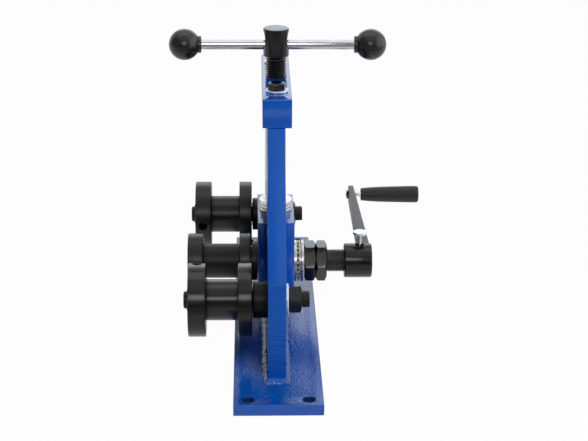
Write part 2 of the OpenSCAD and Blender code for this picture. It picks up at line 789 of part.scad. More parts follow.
module drive_bearing_cage() {
    x = drive_ball_x + drive_ball_gap / 2;
    color("silver") translate([x, 0, shaft_z]) rotate([0, 90, 0]) difference() {
        turned(ring_section(journal_d / 2 + 2 * loose_clear, drive_cage_d / 2, -drive_cage_t / 2,
            drive_cage_t / 2, drive_cage_t * ring_bevel_share));
        ball_ring(drive_balls, drive_race_d) translate([0, 0, -drive_ball_gap / 2])
            cylinder(d = drive_ball_d + 2 * run_clear, h = drive_ball_gap);
    }
}

module drive_bearing_balls() {
    x = drive_ball_x + drive_ball_gap / 2;
    color("silver") translate([x, 0, shaft_z]) rotate([0, 90, 0])
        ball_ring(drive_balls, drive_race_d) sphere(d = drive_ball_d);
}

module drive_shaft() {
    b = roller_seat_d * end_bevel_share;
    step_x = mid_inner_x;
    seat_r = roller_seat_d / 2;
    color("dimgray") difference() {
        turned_x(concat(
            [[0, mid_shaft_end_x], [seat_r - b, mid_shaft_end_x], [seat_r, mid_shaft_end_x + b],
                [seat_r, step_x], [mid_step_d / 2, step_x], [mid_step_d / 2, step_x + mid_step_t],
                [journal_d / 2, step_x + mid_step_t], [journal_d / 2, journal_end_x]],
            thread(shaft_thread_d / 2, shaft_pitch, journal_end_x, hub_x),
            [[hub_seat_d / 2, hub_x], [hub_seat_d / 2, hub_seat_end_x - b],
                [hub_seat_d / 2 - b, hub_seat_end_x], [0, hub_seat_end_x]]));
        translate([key_x, -key_w / 2, shaft_z + key_z]) cube([key_l, key_w, key_h]);
    }
}

module drive_washer() {
    x = drive_washer_x + drive_washer_t / 2;
    color("silver") difference() {
        turned_x(ring_section(journal_d / 2, drive_bearing_d / 2, drive_washer_x, inner_nut_x,
            drive_washer_t * ring_bevel_share));
        translate([x, 0, shaft_z]) rotate([90 - washer_dot_angle, 0, 0])
            translate([0, 0, drive_bearing_d / 2 - drive_washer_t])
                cylinder(d = drive_washer_t * washer_dot_share, h = 2 * drive_washer_t);
    }
}

module inner_nut() {
    color("dimgray") nut_x(inner_nut_x, drive_nut_af, inner_nut_t, shaft_thread_d + 2 * run_clear);
}

module lock_nut() {
    color("dimgray") nut_x(lock_nut_x, drive_nut_af, lock_nut_t, shaft_thread_d + 2 * run_clear);
}

// Crank

module crank_hub() {
    color("dimgray") difference() {
        turned_x([[0, hub_x], [hub_d / 2 - hub_bevel, hub_x], [hub_d / 2, hub_x + hub_bevel],
            [hub_d / 2, hub_end_x - hub_bevel], [hub_d / 2 - hub_bevel, hub_end_x], [0, hub_end_x]]);
        rod_x(hub_seat_d, hub_x - cut, hub_seat_end_x);
        translate([thumb_x, 0, shaft_z]) cylinder(d = thumb_d + 2 * run_clear, h = hub_d);
        translate([thumb_x, 0, shaft_z + thumb_seat_z]) cylinder(d = thumb_head_d, h = hub_d);
        translate([hub_grub_x, 0, shaft_z]) rotate([-hub_grub_turn, 0, 0])
            cylinder(d = hub_grub_d, h = hub_d);
        translate([arm_x, arm_seat_y, shaft_z - arm_root_h / 2])
            cube([arm_root_t, hub_d, arm_root_h]);
    }
}

module hub_grub_screw() {
    color("dimgray") translate([hub_grub_x, 0, shaft_z]) rotate([-hub_grub_turn, 0, 0])
        translate([0, 0, hub_seat_d / 2])
            grub_screw(hub_grub_d, hub_d / 2 - hub_seat_d / 2 - hub_d * grub_sink_share);
}

module thumb_screw() {
    r = thumb_head_d / 2;
    base_z = hub_d / 2 + thumb_rise;
    color("silver") translate([thumb_x, 0, shaft_z]) {
        translate([0, 0, hub_seat_d / 2]) cylinder(d = thumb_d, h = base_z - hub_seat_d / 2);
        translate([0, 0, base_z]) linear_extrude(thumb_head_h) polygon([for (i = [0 : 2 * thumb_teeth - 1])
            let (a = 180 / thumb_teeth * i, k = i % 2 == 0 ? r : r * thumb_tooth_share)
            [k * cos(a), k * sin(a)]]);
    }
}

// The arm is flat on the side of its pin nut and tapers on the side of the grip
module crank_arm() {
    tip_r = arm_tip_h / 2;
    color("gray") difference() {
        intersection() {
            linear_extrude(shaft_z + hub_d) polygon([[arm_x, arm_seat_y],
                [arm_x + arm_root_t, arm_seat_y], [arm_x + arm_root_t, hub_d / 2],
                [arm_x + arm_tip_t, crank_r], [arm_x + arm_tip_t, crank_r + tip_r],
                [arm_x, crank_r + tip_r]]);
            translate([arm_x, 0, shaft_z]) rotate([90, 0, 90]) linear_extrude(arm_root_t) union() {
                polygon([[arm_seat_y, -arm_root_h / 2], [hub_d / 2, -arm_root_h / 2], [crank_r, -tip_r],
                    [crank_r, tip_r], [hub_d / 2, arm_root_h / 2], [arm_seat_y, arm_root_h / 2]]);
                translate([crank_r, 0]) circle(r = tip_r);
            }
        }
        rod_x(grip_neck_d, arm_x - cut, arm_x + arm_root_t, shaft_z, crank_r);
    }
}

module grip_pin() {
    r = grip_pin_d / 2;
    n = grip_neck_d / 2;
    x0 = arm_x - pin_nut_t - pin_end_l;
    face_x = arm_x + arm_tip_t;
    color("silver") turned_x([[0, x0], [n, x0], [n, face_x], [pin_collar_r, face_x],
        [pin_collar_r, face_x + pin_collar_l], [n, face_x + pin_collar_l], [n, grip_x],
        [r, grip_x + face_clear], [r, snap_x],
        [snap_groove_r, snap_x], [snap_groove_r, snap_x + snap_t], [r, snap_x + snap_t],
        [r, grip_pin_end_x], [0, grip_pin_end_x]], shaft_z, crank_r);
}

module grip_pin_nut() {
    color("dimgray") nut_x(arm_x - pin_nut_t, pin_nut_af, pin_nut_t, grip_neck_d, shaft_z, crank_r);
}

module grip_snap_ring() {
    color("silver") difference() {
        turned_x([[snap_groove_r, snap_x], [snap_r, snap_x], [snap_r, snap_x + snap_t],
            [snap_groove_r, snap_x + snap_t]], shaft_z, crank_r);
        translate([snap_x - cut, crank_r - snap_groove_r / 2, shaft_z])
            cube([snap_t + 2 * cut, snap_groove_r, snap_r + cut]);
    }
}

// The grip swells from its thin end to a thick one with a small round
module crank_grip() {
    bore_r = grip_pin_d / 2 + run_clear;
    ring_r = snap_r + loose_clear;
    color("black") difference() {
        turned_x(concat([[0, grip_x]],
            [for (s = grip_thin_shares) [grip_thin_d / 2 * s[0], grip_x + grip_l * s[1]]],
            [for (s = grip_thick_shares) [grip_thick_d / 2 * s[0], grip_x + grip_l * s[1]]],
            [[0, grip_x + grip_l]]), shaft_z, crank_r);
        rod_x(2 * bore_r, grip_x - cut, grip_pin_end_x + loose_clear, shaft_z, crank_r);
        rod_x(2 * ring_r, snap_x - loose_clear, snap_x + snap_t + loose_clear, shaft_z, crank_r);
    }
}

// Rollers

// A flange, bored for what it sits on, with an optional grub screw hole in its rim
module flange(x, w, d, bore, z, y, grub_turn, grub) {
    difference() {
        turned_x(ring_section(bore / 2, d / 2, x, x + w, rim_bevel), z, y);
        if (grub) translate([x + w / 2, y, z]) rotate([-grub_turn, 0, 0]) {
            cylinder(d = grub_d, h = d);
            translate([0, 0, d / 2 - rim_bevel]) cylinder(d1 = grub_d, d2 = grub_d + 2 * d, h = d);
        }
    }
}

module low_outer_flange(side) {
    color("dimgray") flange(low_outer_x, low_outer_w, low_flange_d, low_bush_d, axle_z,
        side * axle_gauge / 2, grub_turn[side < 0 ? 0 : 1], true);
}

module low_inner_flange(side) {
    color("dimgray") flange(low_inner_x - low_inner_w, low_inner_w - face_clear, low_flange_d,
        low_bush_d, axle_z, side * axle_gauge / 2, 0, false);
}

module low_sleeve(side) {
    x = low_outer_x + low_outer_w;
    color("dimgray") turned_x([[low_bush_d / 2, x], [low_sleeve_d / 2, x],
        [low_sleeve_d / 2, x + low_groove_w], [low_bush_d / 2, x + low_groove_w]], axle_z,
        side * axle_gauge / 2);
}

module low_bush(side) {
    r = axle_d / 2 + run_clear;
    x1 = low_inner_x - face_clear;
    color("goldenrod") turned_x([[r, low_outer_x], [low_bush_d / 2, low_outer_x],
        [low_bush_d / 2, x1], [r, x1]], axle_z, side * axle_gauge / 2);
}

module low_grub_screw(side) {
    turn = grub_turn[side < 0 ? 0 : 1];
    color("dimgray") translate([low_outer_x + low_outer_w / 2, side * axle_gauge / 2, axle_z])
        rotate([-turn, 0, 0]) translate([0, 0, low_bush_d / 2]) grub_screw(grub_d, grub_l);
}

module front_bush() {
    low_bush(-1);
}

module front_inner_flange() {
    low_inner_flange(-1);
}

module front_sleeve() {
    low_sleeve(-1);
}

module front_outer_flange() {
    low_outer_flange(-1);
}

module front_grub_screw() {
    low_grub_screw(-1);
}

module rear_bush() {
    low_bush(1);
}

module rear_inner_flange() {
    low_inner_flange(1);
}

module rear_sleeve() {
    low_sleeve(1);
}

module rear_outer_flange() {
    low_outer_flange(1);
}

module rear_grub_screw() {
    low_grub_screw(1);
}

module centre_spacer() {
    x = mid_inner_x + mid_step_t;
    color("dimgray") turned_x(ring_section(journal_d / 2, mid_spacer_d / 2, x, x + mid_spacer_t,
        rim_bevel / 2));
}

// The keyway of the centre roller, open towards the shaft
module keyway() {
    translate([key_x, -key_w / 2, shaft_z]) cube([key_l, key_w, key_z + key_h]);
}

module centre_inner_flange() {
    color("dimgray") difference() {
        flange(mid_inner_x - mid_inner_w, mid_inner_w, mid_flange_d, roller_seat_d, shaft_z, 0, 0, false);
        keyway();
    }
}

module centre_sleeve() {
    x = mid_outer_x + mid_outer_w;
    r = roller_seat_d / 2;
    color("dimgray") difference() {
        turned_x([[r, x], [mid_sleeve_d / 2, x], [mid_sleeve_d / 2, x + mid_groove_w],
            [r, x + mid_groove_w]]);
        keyway();
    }
}

module centre_outer_flange() {
    color("dimgray") difference() {
        flange(mid_outer_x, mid_outer_w, mid_flange_d, roller_seat_d, shaft_z, 0, mid_grub_turn, true);
        keyway();
    }
}

module centre_key() {
    color("gray") translate([key_x, -key_w / 2, shaft_z + key_z]) cube([key_l, key_w, key_h]);
}

module centre_grub_screw() {
    color("dimgray") translate([mid_outer_x + mid_outer_w / 2, 0, shaft_z])
        rotate([-mid_grub_turn, 0, 0]) translate([0, 0, roller_seat_d / 2]) grub_screw(grub_d, grub_l);
}

base_plate();
frame_plate();
weld_bead();
top_cap();
cap_bolts();
cap_washers();
front_axle();
rear_axle();
axle_washers();
axle_nuts();
axle_retaining_rings();
slide_block();
shaft_bushes();
screw_keeper_pins();
screw_bearing_lower_ring();
screw_bearing_cage();
screw_bearing_balls();
screw_bearing_upper_ring();
press_screw();
tee_bar();
tee_bar_collars();
tee_bar_knobs();
drive_bearing_block_ring();
drive_bearing_cage();
drive_bearing_balls();
drive_bearing_shaft_ring();
drive_shaft();
drive_washer();
inner_nut();
lock_nut();
crank_hub();
hub_grub_screw();
thumb_screw();
crank_arm();
grip_pin();
grip_pin_nut();
grip_snap_ring();
crank_grip();
centre_spacer();
centre_inner_flange();
centre_sleeve();
centre_outer_flange();
centre_key();
centre_grub_screw();
front_bush();
front_inner_flange();
front_sleeve();
front_outer_flange();
front_grub_screw();
rear_bush();
rear_inner_flange();
rear_sleeve();
rear_outer_flange();
rear_grub_screw();
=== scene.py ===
"""Looks of the bench ring roller: enamel, blacked and bright steel, chrome, bronze and plastic."""

import json
import math

import bmesh
import bpy
import numpy as np
from mathutils import Matrix, Vector


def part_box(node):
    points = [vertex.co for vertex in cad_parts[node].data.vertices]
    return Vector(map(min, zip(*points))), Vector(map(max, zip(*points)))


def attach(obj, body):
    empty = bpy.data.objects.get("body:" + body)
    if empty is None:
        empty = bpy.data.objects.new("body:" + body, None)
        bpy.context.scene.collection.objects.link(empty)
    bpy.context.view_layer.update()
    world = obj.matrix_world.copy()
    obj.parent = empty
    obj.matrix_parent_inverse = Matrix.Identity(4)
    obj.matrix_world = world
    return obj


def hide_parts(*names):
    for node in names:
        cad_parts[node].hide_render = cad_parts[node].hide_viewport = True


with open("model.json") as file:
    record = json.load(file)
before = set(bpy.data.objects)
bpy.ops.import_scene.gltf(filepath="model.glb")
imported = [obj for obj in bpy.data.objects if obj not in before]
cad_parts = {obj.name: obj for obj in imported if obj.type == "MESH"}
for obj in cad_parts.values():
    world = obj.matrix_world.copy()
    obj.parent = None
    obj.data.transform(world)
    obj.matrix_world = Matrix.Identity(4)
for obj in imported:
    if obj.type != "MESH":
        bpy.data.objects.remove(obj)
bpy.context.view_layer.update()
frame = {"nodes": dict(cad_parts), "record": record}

# Shapes are worked out in millimetres and turned to metres when a mesh is made
MM = 0.001
TAU = 2 * math.pi
SHARP_DEG = 33
MERGE_M, SLIVER_M = 1e-6, 1e-7
# An arc takes at most this share of the shorter side of its corner
ARC_SHARE = 0.45
# Flat crest and sloping flank of a thread, as shares of half its pitch
CREST_SHARE, FLANK_SHARE = 0.12, 0.72

BODIES = frame["record"]["behaviour"]["bodies"]
BODY_OF = {node: body for body, nodes in BODIES.items() for node in nodes}


def box(node):
    """Lowest and highest corner of a CAD node, in millimetres."""
    low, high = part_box(node)
    return np.array(low) / MM, np.array(high) / MM


def middle(node):
    """Centre of a CAD node's box, in millimetres."""
    return sum(box(node)) / 2


def span(node, axis=0):
    """Both ends of a CAD node along X, or along another axis."""
    low, high = box(node)
    return low[axis], high[axis]


def radius_of(node):
    """Half the height of a round node that lies along X."""
    z0, z1 = span(node, 2)
    return (z1 - z0) / 2


# Meshes


def placed(name, data):
    """A new object with this data, linked to the scene."""
    thing = bpy.data.objects.new(name, data)
    bpy.context.scene.collection.objects.link(thing)
    return thing


def finish_mesh(piece):
    """Smooth shading, kept sharp at edges where the faces turn by more than SHARP_DEG."""
    piece.data.shade_smooth()
    piece.data.set_sharp_from_angle(angle=math.radians(SHARP_DEG))
    return piece


def mesh_object(name, points, faces, uv=None):
    """An object from points in millimetres and faces, merged and facing outwards. uv holds a pair per
    corner of each face."""
    mesh = bpy.data.meshes.new(name)
    mesh.from_pydata(np.asarray(points) * MM, [], faces if isinstance(faces, list) else faces.tolist())
    if uv is not None:
        mesh.uv_layers.new(name="turned").uv.foreach_set("vector", np.asarray(uv, np.float32).ravel())
    tidy = bmesh.new()
    tidy.from_mesh(mesh)
    bmesh.ops.remove_doubles(tidy, verts=tidy.verts, dist=MERGE_M)
    bmesh.ops.dissolve_degenerate(tidy, edges=tidy.edges, dist=SLIVER_M)
    bmesh.ops.recalc_face_normals(tidy, faces=tidy.faces)
    tidy.to_mesh(mesh)
    tidy.free()
    return finish_mesh(placed(name, mesh))


def grid_object(name, points, ring=False, uv=None):
    """A surface from a grid of points (rows, columns, 3), closed along its columns, and along its rows
    in a ring. uv holds the pair of each grid line, one row and one column more than the points."""
    rows, columns = points.shape[:2]
    r = np.arange(rows if ring else rows - 1)[:, None]
    c = np.arange(columns)[None, :]
    corners = [(r, c), (r, c + 1), (r + 1, c + 1), (r + 1, c)]
    quads = np.stack([a % rows * columns + b % columns for a, b in corners], -1).reshape(-1, 4)
    if uv is not None:
        u, v = uv
        uv = np.stack([np.stack(np.broadcast_arrays(u[b], v[a]), -1) for a, b in corners], -2)
    return mesh_object(name, points.reshape(-1, 3), quads, uv)


def rounded(points, radius, steps=4, closed=True):
    """A line of points with each corner replaced by a circular arc that touches both of its sides.

    The arc of a corner has its centre on the bisector, radius / sin(half the corner's angle) away, and
    its points turn evenly from one side to the other. A radius is cut to a share of the shorter side.
    """
    points = np.asarray(points, float)
    radius = np.broadcast_to(np.asarray(radius, float), len(points))
    before = np.roll(points, 1, 0) - points
    after = np.roll(points, -1, 0) - points
    long_before = np.maximum(np.linalg.norm(before, axis=1), 1e-9)
    long_after = np.maximum(np.linalg.norm(after, axis=1), 1e-9)
    u = before / long_before[:, None]
    v = after / long_after[:, None]
    half = np.clip(np.arccos(np.clip((u * v).sum(1), -1, 1)) / 2, 1e-3, math.pi / 2 - 1e-4)
    reach = np.minimum(radius / np.tan(half), ARC_SHARE * np.minimum(long_before, long_after))
    radius = reach * np.tan(half)
    bisector = u + v
    bisector /= np.maximum(np.linalg.norm(bisector, axis=1), 1e-9)[:, None]
    centre = points + bisector * (radius / np.sin(half))[:, None]
    start = points + u * reach[:, None] - centre
    end = points + v * reach[:, None] - centre
    turn = (math.pi - 2 * half)[:, None]
    k = np.linspace(0, 1, steps + 1)[None, :]
    weights = np.stack([np.sin((1 - k) * turn), np.sin(k * turn)], -1) / np.sin(turn)[..., None]
    arcs = centre[:, None] + weights[..., :1] * start[:, None] + weights[..., 1:] * end[:, None]
    arcs[reach < 1e-6] = points[reach < 1e-6][:, None]
    if not closed:
        arcs[0] = points[0]
        arcs[-1] = points[-1]
    line = arcs.reshape(-1, points.shape[1])
    keep = np.ones(len(line), bool)
    keep[1:] = np.linalg.norm(np.diff(line, axis=0), axis=1) > 1e-4
    return line[keep]


def filled(line, start, end, step):
    """The line with points added, at most a step apart, on every stretch between start and end."""
    pieces = []
    for a, b in zip(line, line[1:]):
        inside = min(a[0], b[0]) > start - 1e-6 and max(a[0], b[0]) < end + 1e-6
        count = max(1, math.ceil(abs(b[0] - a[0]) / step)) if inside else 1
        pieces.append(a + (b - a) * np.arange(count)[:, None] / count)
    return np.concatenate(pieces + [line[-1:]])


def around_x(y, z):
    """Place of (t, r, angle): t along X, r from the line through y and z, angle from up to the back."""
    return lambda t, r, a: np.stack([t + 0 * r, y + r * np.sin(a), z + r * np.cos(a)], -1)


def around_z(x, y):
    """Place of (t, r, angle): t along Z, r from the line through x and y, angle from +X to +Y."""
    return lambda t, r, a: np.stack([x + r * np.cos(a), y + r * np.sin(a), t + 0 * r], -1)


def turned(name, line, place, segments=96, ring=False, shape=None):
    """A turned piece: each point (t, r) of the line is carried round the axis.

    shape(r, t, angle) may change the radius, for threads and knurls. The UV map holds the turn and the
    length along the line in metres, which the turning marks follow.
    """
    line = np.asarray(line, float)
    angle = np.arange(segments)[None, :] / segments * TAU
    t = line[:, :1] + 0 * angle
    r = line[:, 1:] + 0 * angle
    if shape:
        r = shape(r, t, angle)
    steps = np.linalg.norm(np.diff(np.concatenate([line, line[:1]]), axis=0), axis=1)
    v = np.concatenate([[0], np.cumsum(steps)]) * MM
    u = np.arange(segments + 1) / segments
    return grid_object(name, place(t, r, angle), ring=ring, uv=(u, v))


def thread(radius, depth, pitch, start, end, hand):
    """Radius less the depth times a blunt triangle wave of (t / pitch - turns), which fades out over
    one pitch at each end, and never more than the radius that the line already has."""
    def shape(r, t, angle):
        wave = np.abs(2 * ((t / pitch - hand * angle / TAU) % 1) - 1)
        groove = np.clip((wave - CREST_SHARE) / FLANK_SHARE, 0, 1)
        fade = np.clip((t - start) / pitch, 0, 1) * np.clip((end - t) / pitch, 0, 1)
        return np.where((t > start) & (t < end), np.minimum(r, radius - depth * groove * fade), r)
    return shape


def ring_line(t0, t1, inner, outer, bevel, soft=0.25):
    """Section of a ring with a bevel on both outer corners, all corners slightly rounded."""
    return rounded([(t0, inner), (t0, outer - bevel), (t0 + bevel, outer), (t1 - bevel, outer),
                    (t1, outer - bevel), (t1, inner)], soft, steps=3)


def turned_ring(name, place, segments, *section):
    """A turned piece with a ring_line as its section."""
    return turned(name, ring_line(*section), place, segments, ring=True)


def solid_line(t0, t1, outer, bevel, soft=0.25, steps=3):
    """Section of a round bar with bevelled ends."""
    return rounded([(t0, 0), (t0, outer - bevel), (t0 + bevel, outer), (t1 - bevel, outer),
                    (t1, outer - bevel), (t1, 0)], soft, steps, closed=False)


def prism(name, outline, low, high, place):
    """A straight bar with the given outline, its ends at low and high."""
    outline = np.asarray(outline, float)
    n = len(outline)
    points = np.concatenate([place(outline, np.full(n, low)), place(outline, np.full(n, high))])
    i = np.arange(n)
    sides = np.stack([i, (i + 1) % n, (i + 1) % n + n, i + n], -1).tolist()
    return mesh_object(name, points, sides + [i[::-1].tolist(), (i + n).tolist()])


def plate(name, outline, holes, low, high, edge, place, steps=3):
    """A flat plate: a quarter-round edge carried along its outline and along each hole.

    At each step of the edge the loop is drawn in along its own normals by edge * (1 - sin), while the
    height runs edge * (1 - cos) away from the face. The two faces are filled between the loops.
    place(points, heights) puts the plate in space.
    """
    k = np.linspace(0, math.pi / 2, steps + 1)
    inset = np.concatenate([edge * (1 - np.sin(k)), edge * (1 - np.sin(k[::-1]))])
    height = np.concatenate([low + edge * (1 - np.cos(k)), high - edge * (1 - np.cos(k[::-1]))])
    mesh = bmesh.new()
    rims = ([], [])
    for loop, inward in [(outline, 1)] + [(hole, -1) for hole in holes]:
        loop = np.asarray(loop, float)
        along = np.roll(loop, -1, 0) - loop
        along /= np.linalg.norm(along, axis=1)[:, None]
        both = along + np.roll(along, 1, 0)
        area = (loop[:, 0] * np.roll(loop[:, 1], -1) - loop[:, 1] * np.roll(loop[:, 0], -1)).sum()
        side = math.copysign(1, area) * inward
        normal = np.stack([-both[:, 1], both[:, 0]], 1) * side / ((both ** 2).sum(1)[:, None] / 2)
        rings = loop[None] + normal[None] * inset[:, None, None]
        rows = [[mesh.verts.new(p) for p in place(ring, np.full(len(ring), h)) * MM]
                for ring, h in zip(rings, height)]
        for lower, upper in zip(rows, rows[1:]):
            for i in range(len(loop)):
                j = (i + 1) % len(loop)
                mesh.faces.new((lower[i], lower[j], upper[j], upper[i]))
        for rim, row in zip(rims, (rows[0], rows[-1])):
            rim.extend(mesh.edges.get((row[i], row[(i + 1) % len(row)])) for i in range(len(row)))
    for rim in rims:
        bmesh.ops.triangle_fill(mesh, edges=rim, use_beauty=True)
    bmesh.ops.recalc_face_normals(mesh, faces=mesh.faces)
    data = bpy.data.meshes.new(name)
    mesh.to_mesh(data)
    mesh.free()
    return finish_mesh(placed(name, data))


def flat(points, heights):
    """Outline in X and Y, thickness along Z."""
    return np.column_stack([points, heights])


def upright(points, heights):
    """Outline in Y and Z, thickness along X."""
    return np.column_stack([heights, points])


def rectangle(x0, y0, x1, y1):
    """Corners of a rectangle, from its lowest corner round."""
    return [(x0, y0), (x1, y0), (x1, y1), (x0, y1)]


def circle(centre, radius, count=48):
    """Points evenly spaced around a circle."""
    a = np.arange(count) / count * TAU
    return np.stack([centre[0] + radius * np.cos(a), centre[1] + radius * np.sin(a)], 1)


def rod(centre, direction, radius, length, flare=0.0, segments=48):
    """A cutter: a round bar from the centre along a direction, with a cone at its far end."""
    d = np.asarray(direction, float)
    d /= np.linalg.norm(d)
    a = np.cross(d, [1, 0, 0] if abs(d[0]) < 0.9 else [0, 1, 0])
    a /= np.linalg.norm(a)
    b = np.cross(d, a)
    line = [(0, 0), (0, radius), (length, radius)]
    if flare:
        line += [(length + 2 * flare, radius + 2 * flare), (length + 2 * flare, 0)]
    else:
        line += [(length, 0)]

    def place(t, r, angle):
        return (np.asarray(centre, float) + t[..., None] * d + (r * np.cos(angle))[..., None] * a
                + (r * np.sin(angle))[..., None] * b)
    return turned("cutter", line, place, segments)


def carve(piece, *others, operation="DIFFERENCE"):
    """Takes the others out of the piece, or keeps only what lies inside them, and removes them."""
    for other in others:
        boolean = piece.modifiers.new("carve", "BOOLEAN")
        boolean.operation = operation
        boolean.solver = "EXACT"
        boolean.object = other
    depsgraph = bpy.context.evaluated_depsgraph_get()
    result = bpy.data.meshes.new_from_object(piece.evaluated_get(depsgraph))
    piece.modifiers.clear()
    old, name = piece.data, piece.data.name
    piece.data = result
    bpy.data.meshes.remove(old)
    result.name = name
    for other in others:
        bpy.data.objects.remove(other)
    return finish_mesh(piece)


def joined(name, pieces):
    """Several pieces as one."""
    mesh = bmesh.new()
    for piece in pieces:
        mesh.from_mesh(piece.data)
        bpy.data.objects.remove(piece)
    data = bpy.data.meshes.new(name)
    mesh.to_mesh(data)
    mesh.free()
    return finish_mesh(placed(name, data))


# Finishes


def linear(code):
    """Linear colour of an sRGB hex value."""
    parts = [int(code[i:i + 2], 16) / 255 for i in (1, 3, 5)]
    return [c / 12.92 if c <= 0.04045 else ((c + 0.055) / 1.055) ** 2.4 for c in parts] + [1]


def add(tree, kind, inputs=None, **settings):
    """Adds a node. Settings are its own, and inputs are values or the outputs that feed it."""
    made = tree.nodes.new(kind)
    for name, value in settings.items():
        setattr(made, name, value)
    for name, value in (inputs or {}).items():
        if isinstance(value, bpy.types.NodeSocket):
            tree.links.new(value, made.inputs[name])
        else:
            made.inputs[name].default_value = value
    return made


def empty_tree(holder):
    """The node tree of a new material or world, without its first nodes."""
    holder.use_nodes = True
    holder.node_tree.nodes.clear()
    return holder.node_tree


def per_metre(size_mm):
    """Scale of a noise whose cells are about that many millimetres across."""
    return 1 / (size_mm * MM)


def finish(name, base, tint, patch_mm, bumps, turned_bumps=(), roughness=0.4, rough_spread=0.0,
           cut_lines=None, **shader):
    """A surface finish on Principled BSDF.

    Its colour wanders between base and tint in patches of patch_mm. Each of bumps is (cell size in mm,
    height in mm), and each of turned_bumps the same along the line of a turned piece, as tool marks.
    """
    material = bpy.data.materials.new(name)
    tree = empty_tree(material)
    place = add(tree, "ShaderNodeTexCoord").outputs["Object"]
    patches = add(tree, "ShaderNodeTexNoise", {"Vector": place, "Scale": per_metre(patch_mm),
                                               "Detail": 3.0})
    ramp = add(tree, "ShaderNodeMapRange", {"Value": patches.outputs["Fac"], "From Min": 0.35,
                                            "From Max": 0.65})
    colour = add(tree, "ShaderNodeMix", {0: ramp.outputs["Result"], 6: linear(base), 7: linear(tint)},
                 data_type="RGBA")
    inputs = {"Base Color": colour.outputs[2], "Roughness": roughness, **shader}
    if rough_spread:
        fine = add(tree, "ShaderNodeTexNoise", {"Vector": place, "Scale": per_metre(patch_mm / 3),
                                                "Detail": 4.0})
        spread = add(tree, "ShaderNodeMapRange", {
            "Value": fine.outputs["Fac"], "From Min": 0.3, "From Max": 0.7,
            "To Min": roughness - rough_spread, "To Max": roughness + rough_spread})
        inputs["Roughness"] = spread.outputs["Result"]
    normal = None
    for size, height in bumps:
        noise = add(tree, "ShaderNodeTexNoise", {"Vector": place, "Scale": per_metre(size),
                                                 "Detail": 1.5})
        normal = add_bump(tree, noise.outputs["Fac"], height, normal)
    if turned_bumps:
        turns = add(tree, "ShaderNodeUVMap", uv_map="turned")
        along = add(tree, "ShaderNodeSeparateXYZ", {0: turns.outputs[0]})
        for size, height in turned_bumps:
            marks = add(tree, "ShaderNodeTexNoise", {"W": along.outputs["Y"], "Scale": per_metre(size)},
                        noise_dimensions="1D")
            normal = add_bump(tree, marks.outputs["Fac"], height, normal)
    if cut_lines:
        normal = add_cut_lines(tree, place, normal, **cut_lines)
    if normal:
        inputs["Normal"] = normal
    surface = add(tree, "ShaderNodeBsdfPrincipled", inputs)
    add(tree, "ShaderNodeOutputMaterial", {"Surface": surface.outputs[0]})
    return material


def add_bump(tree, height, height_mm, normal=None):
    """A bump of this height in millimetres, over the bump before it."""
    inputs = {"Height": height, "Distance": height_mm * MM, "Strength": 1.0}
    if normal:
        inputs["Normal"] = normal
    return add(tree, "ShaderNodeBump", inputs).outputs["Normal"]


def add_cut_lines(tree, place, normal, face_y_mm, spacing_mm, height_mm):
    """Drag lines of the torch on the two end faces, where |y| passes face_y: noise along Z, stretched
    twenty-five times across the face."""
    axes = add(tree, "ShaderNodeSeparateXYZ", {0: place})
    far = add(tree, "ShaderNodeMath", {0: axes.outputs["Y"]}, operation="ABSOLUTE")
    mask = add(tree, "ShaderNodeMath", {0: far.outputs[0], 1: face_y_mm * MM}, operation="GREATER_THAN")
    drawn = add(tree, "ShaderNodeMapping", {"Vector": place, "Scale": (0.04, 0.0, 1.0)})
    lines = add(tree, "ShaderNodeTexNoise", {"Vector": drawn.outputs[0], "Scale": per_metre(spacing_mm),
                                             "Detail": 2.0})
    height = add(tree, "ShaderNodeMath", {0: lines.outputs["Fac"], 1: mask.outputs[0]},
                 operation="MULTIPLY")
    return add_bump(tree, height.outputs[0], height_mm, normal)


# Gloss enamel sprayed on hot-rolled bar: deep blue with a fine orange peel that breaks up what it
# mirrors, over the slow waves of the rolled surface.
ENAMEL = dict(base="#0251B2", tint="#024EA8", patch_mm=60, bumps=[(45, 0.05), (3.0, 0.05)],
              roughness=0.14, IOR=1.5)
enamel = finish("gloss enamel on rolled steel", **ENAMEL)
# Thicker on the base, where it lay flat as it dried: a coarse orange peel of bright and dark dots.
enamel_thick = finish("thick gloss enamel on base bar", **{**ENAMEL, "bumps": [(45, 0.1), (2.7, 0.6)]})
# In the drilled holes a dark, dull enamel: painted shade on the walls of the holes.
enamel_hole_painted_shade = finish("dark enamel with painted shade in drilled holes", base="#042A66", tint="#032254", patch_mm=8,
                     bumps=[(1.5, 0.02)], roughness=0.5, IOR=1.3)
# The same enamel over flame-cut edges: close level drag lines show through it on the two end faces.
enamel_cut = finish("gloss enamel on flame-cut plate", cut_lines=dict(face_y_mm=199.0, spacing_mm=2.3,
                    height_mm=1.1), **{**ENAMEL, "Specular IOR Level": 0.25})
# Weld under the same enamel, lumpier, with wet lights along its ripples.
enamel_weld = finish("gloss enamel on weld",
                     **{**ENAMEL, "bumps": [(9, 0.9), (4, 0.4)], "roughness": 0.13})
# Oiled black oxide on turned steel: soot black, with soft grey lights drawn out by the tool marks. The
# marks are drawn coarser than they are.
BLACKED = dict(base="#080808", tint="#0E0E0E", patch_mm=9, roughness=0.21, rough_spread=0.03, IOR=1.43)
blacked = finish("black oxide on turned steel", bumps=[(1.6, 0.006)],
                 turned_bumps=[(1.2, 0.018), (6, 0.02)], **BLACKED)
# Black oxide on forged and milled faces: the same film, with no turning marks.
blacked_flat = finish("black oxide on forged steel", bumps=[(4, 0.006)],
                      **{**BLACKED, "IOR": 1.48, "roughness": 0.15, "rough_spread": 0.01})
# The same film on a coarser turned face: almost no shine.
blacked_dull = finish("black oxide on rough turned steel", bumps=[(1.6, 0.02)],
                      turned_bumps=[(1.2, 0.02)], **{**BLACKED, "IOR": 1.36, "roughness": 0.42})
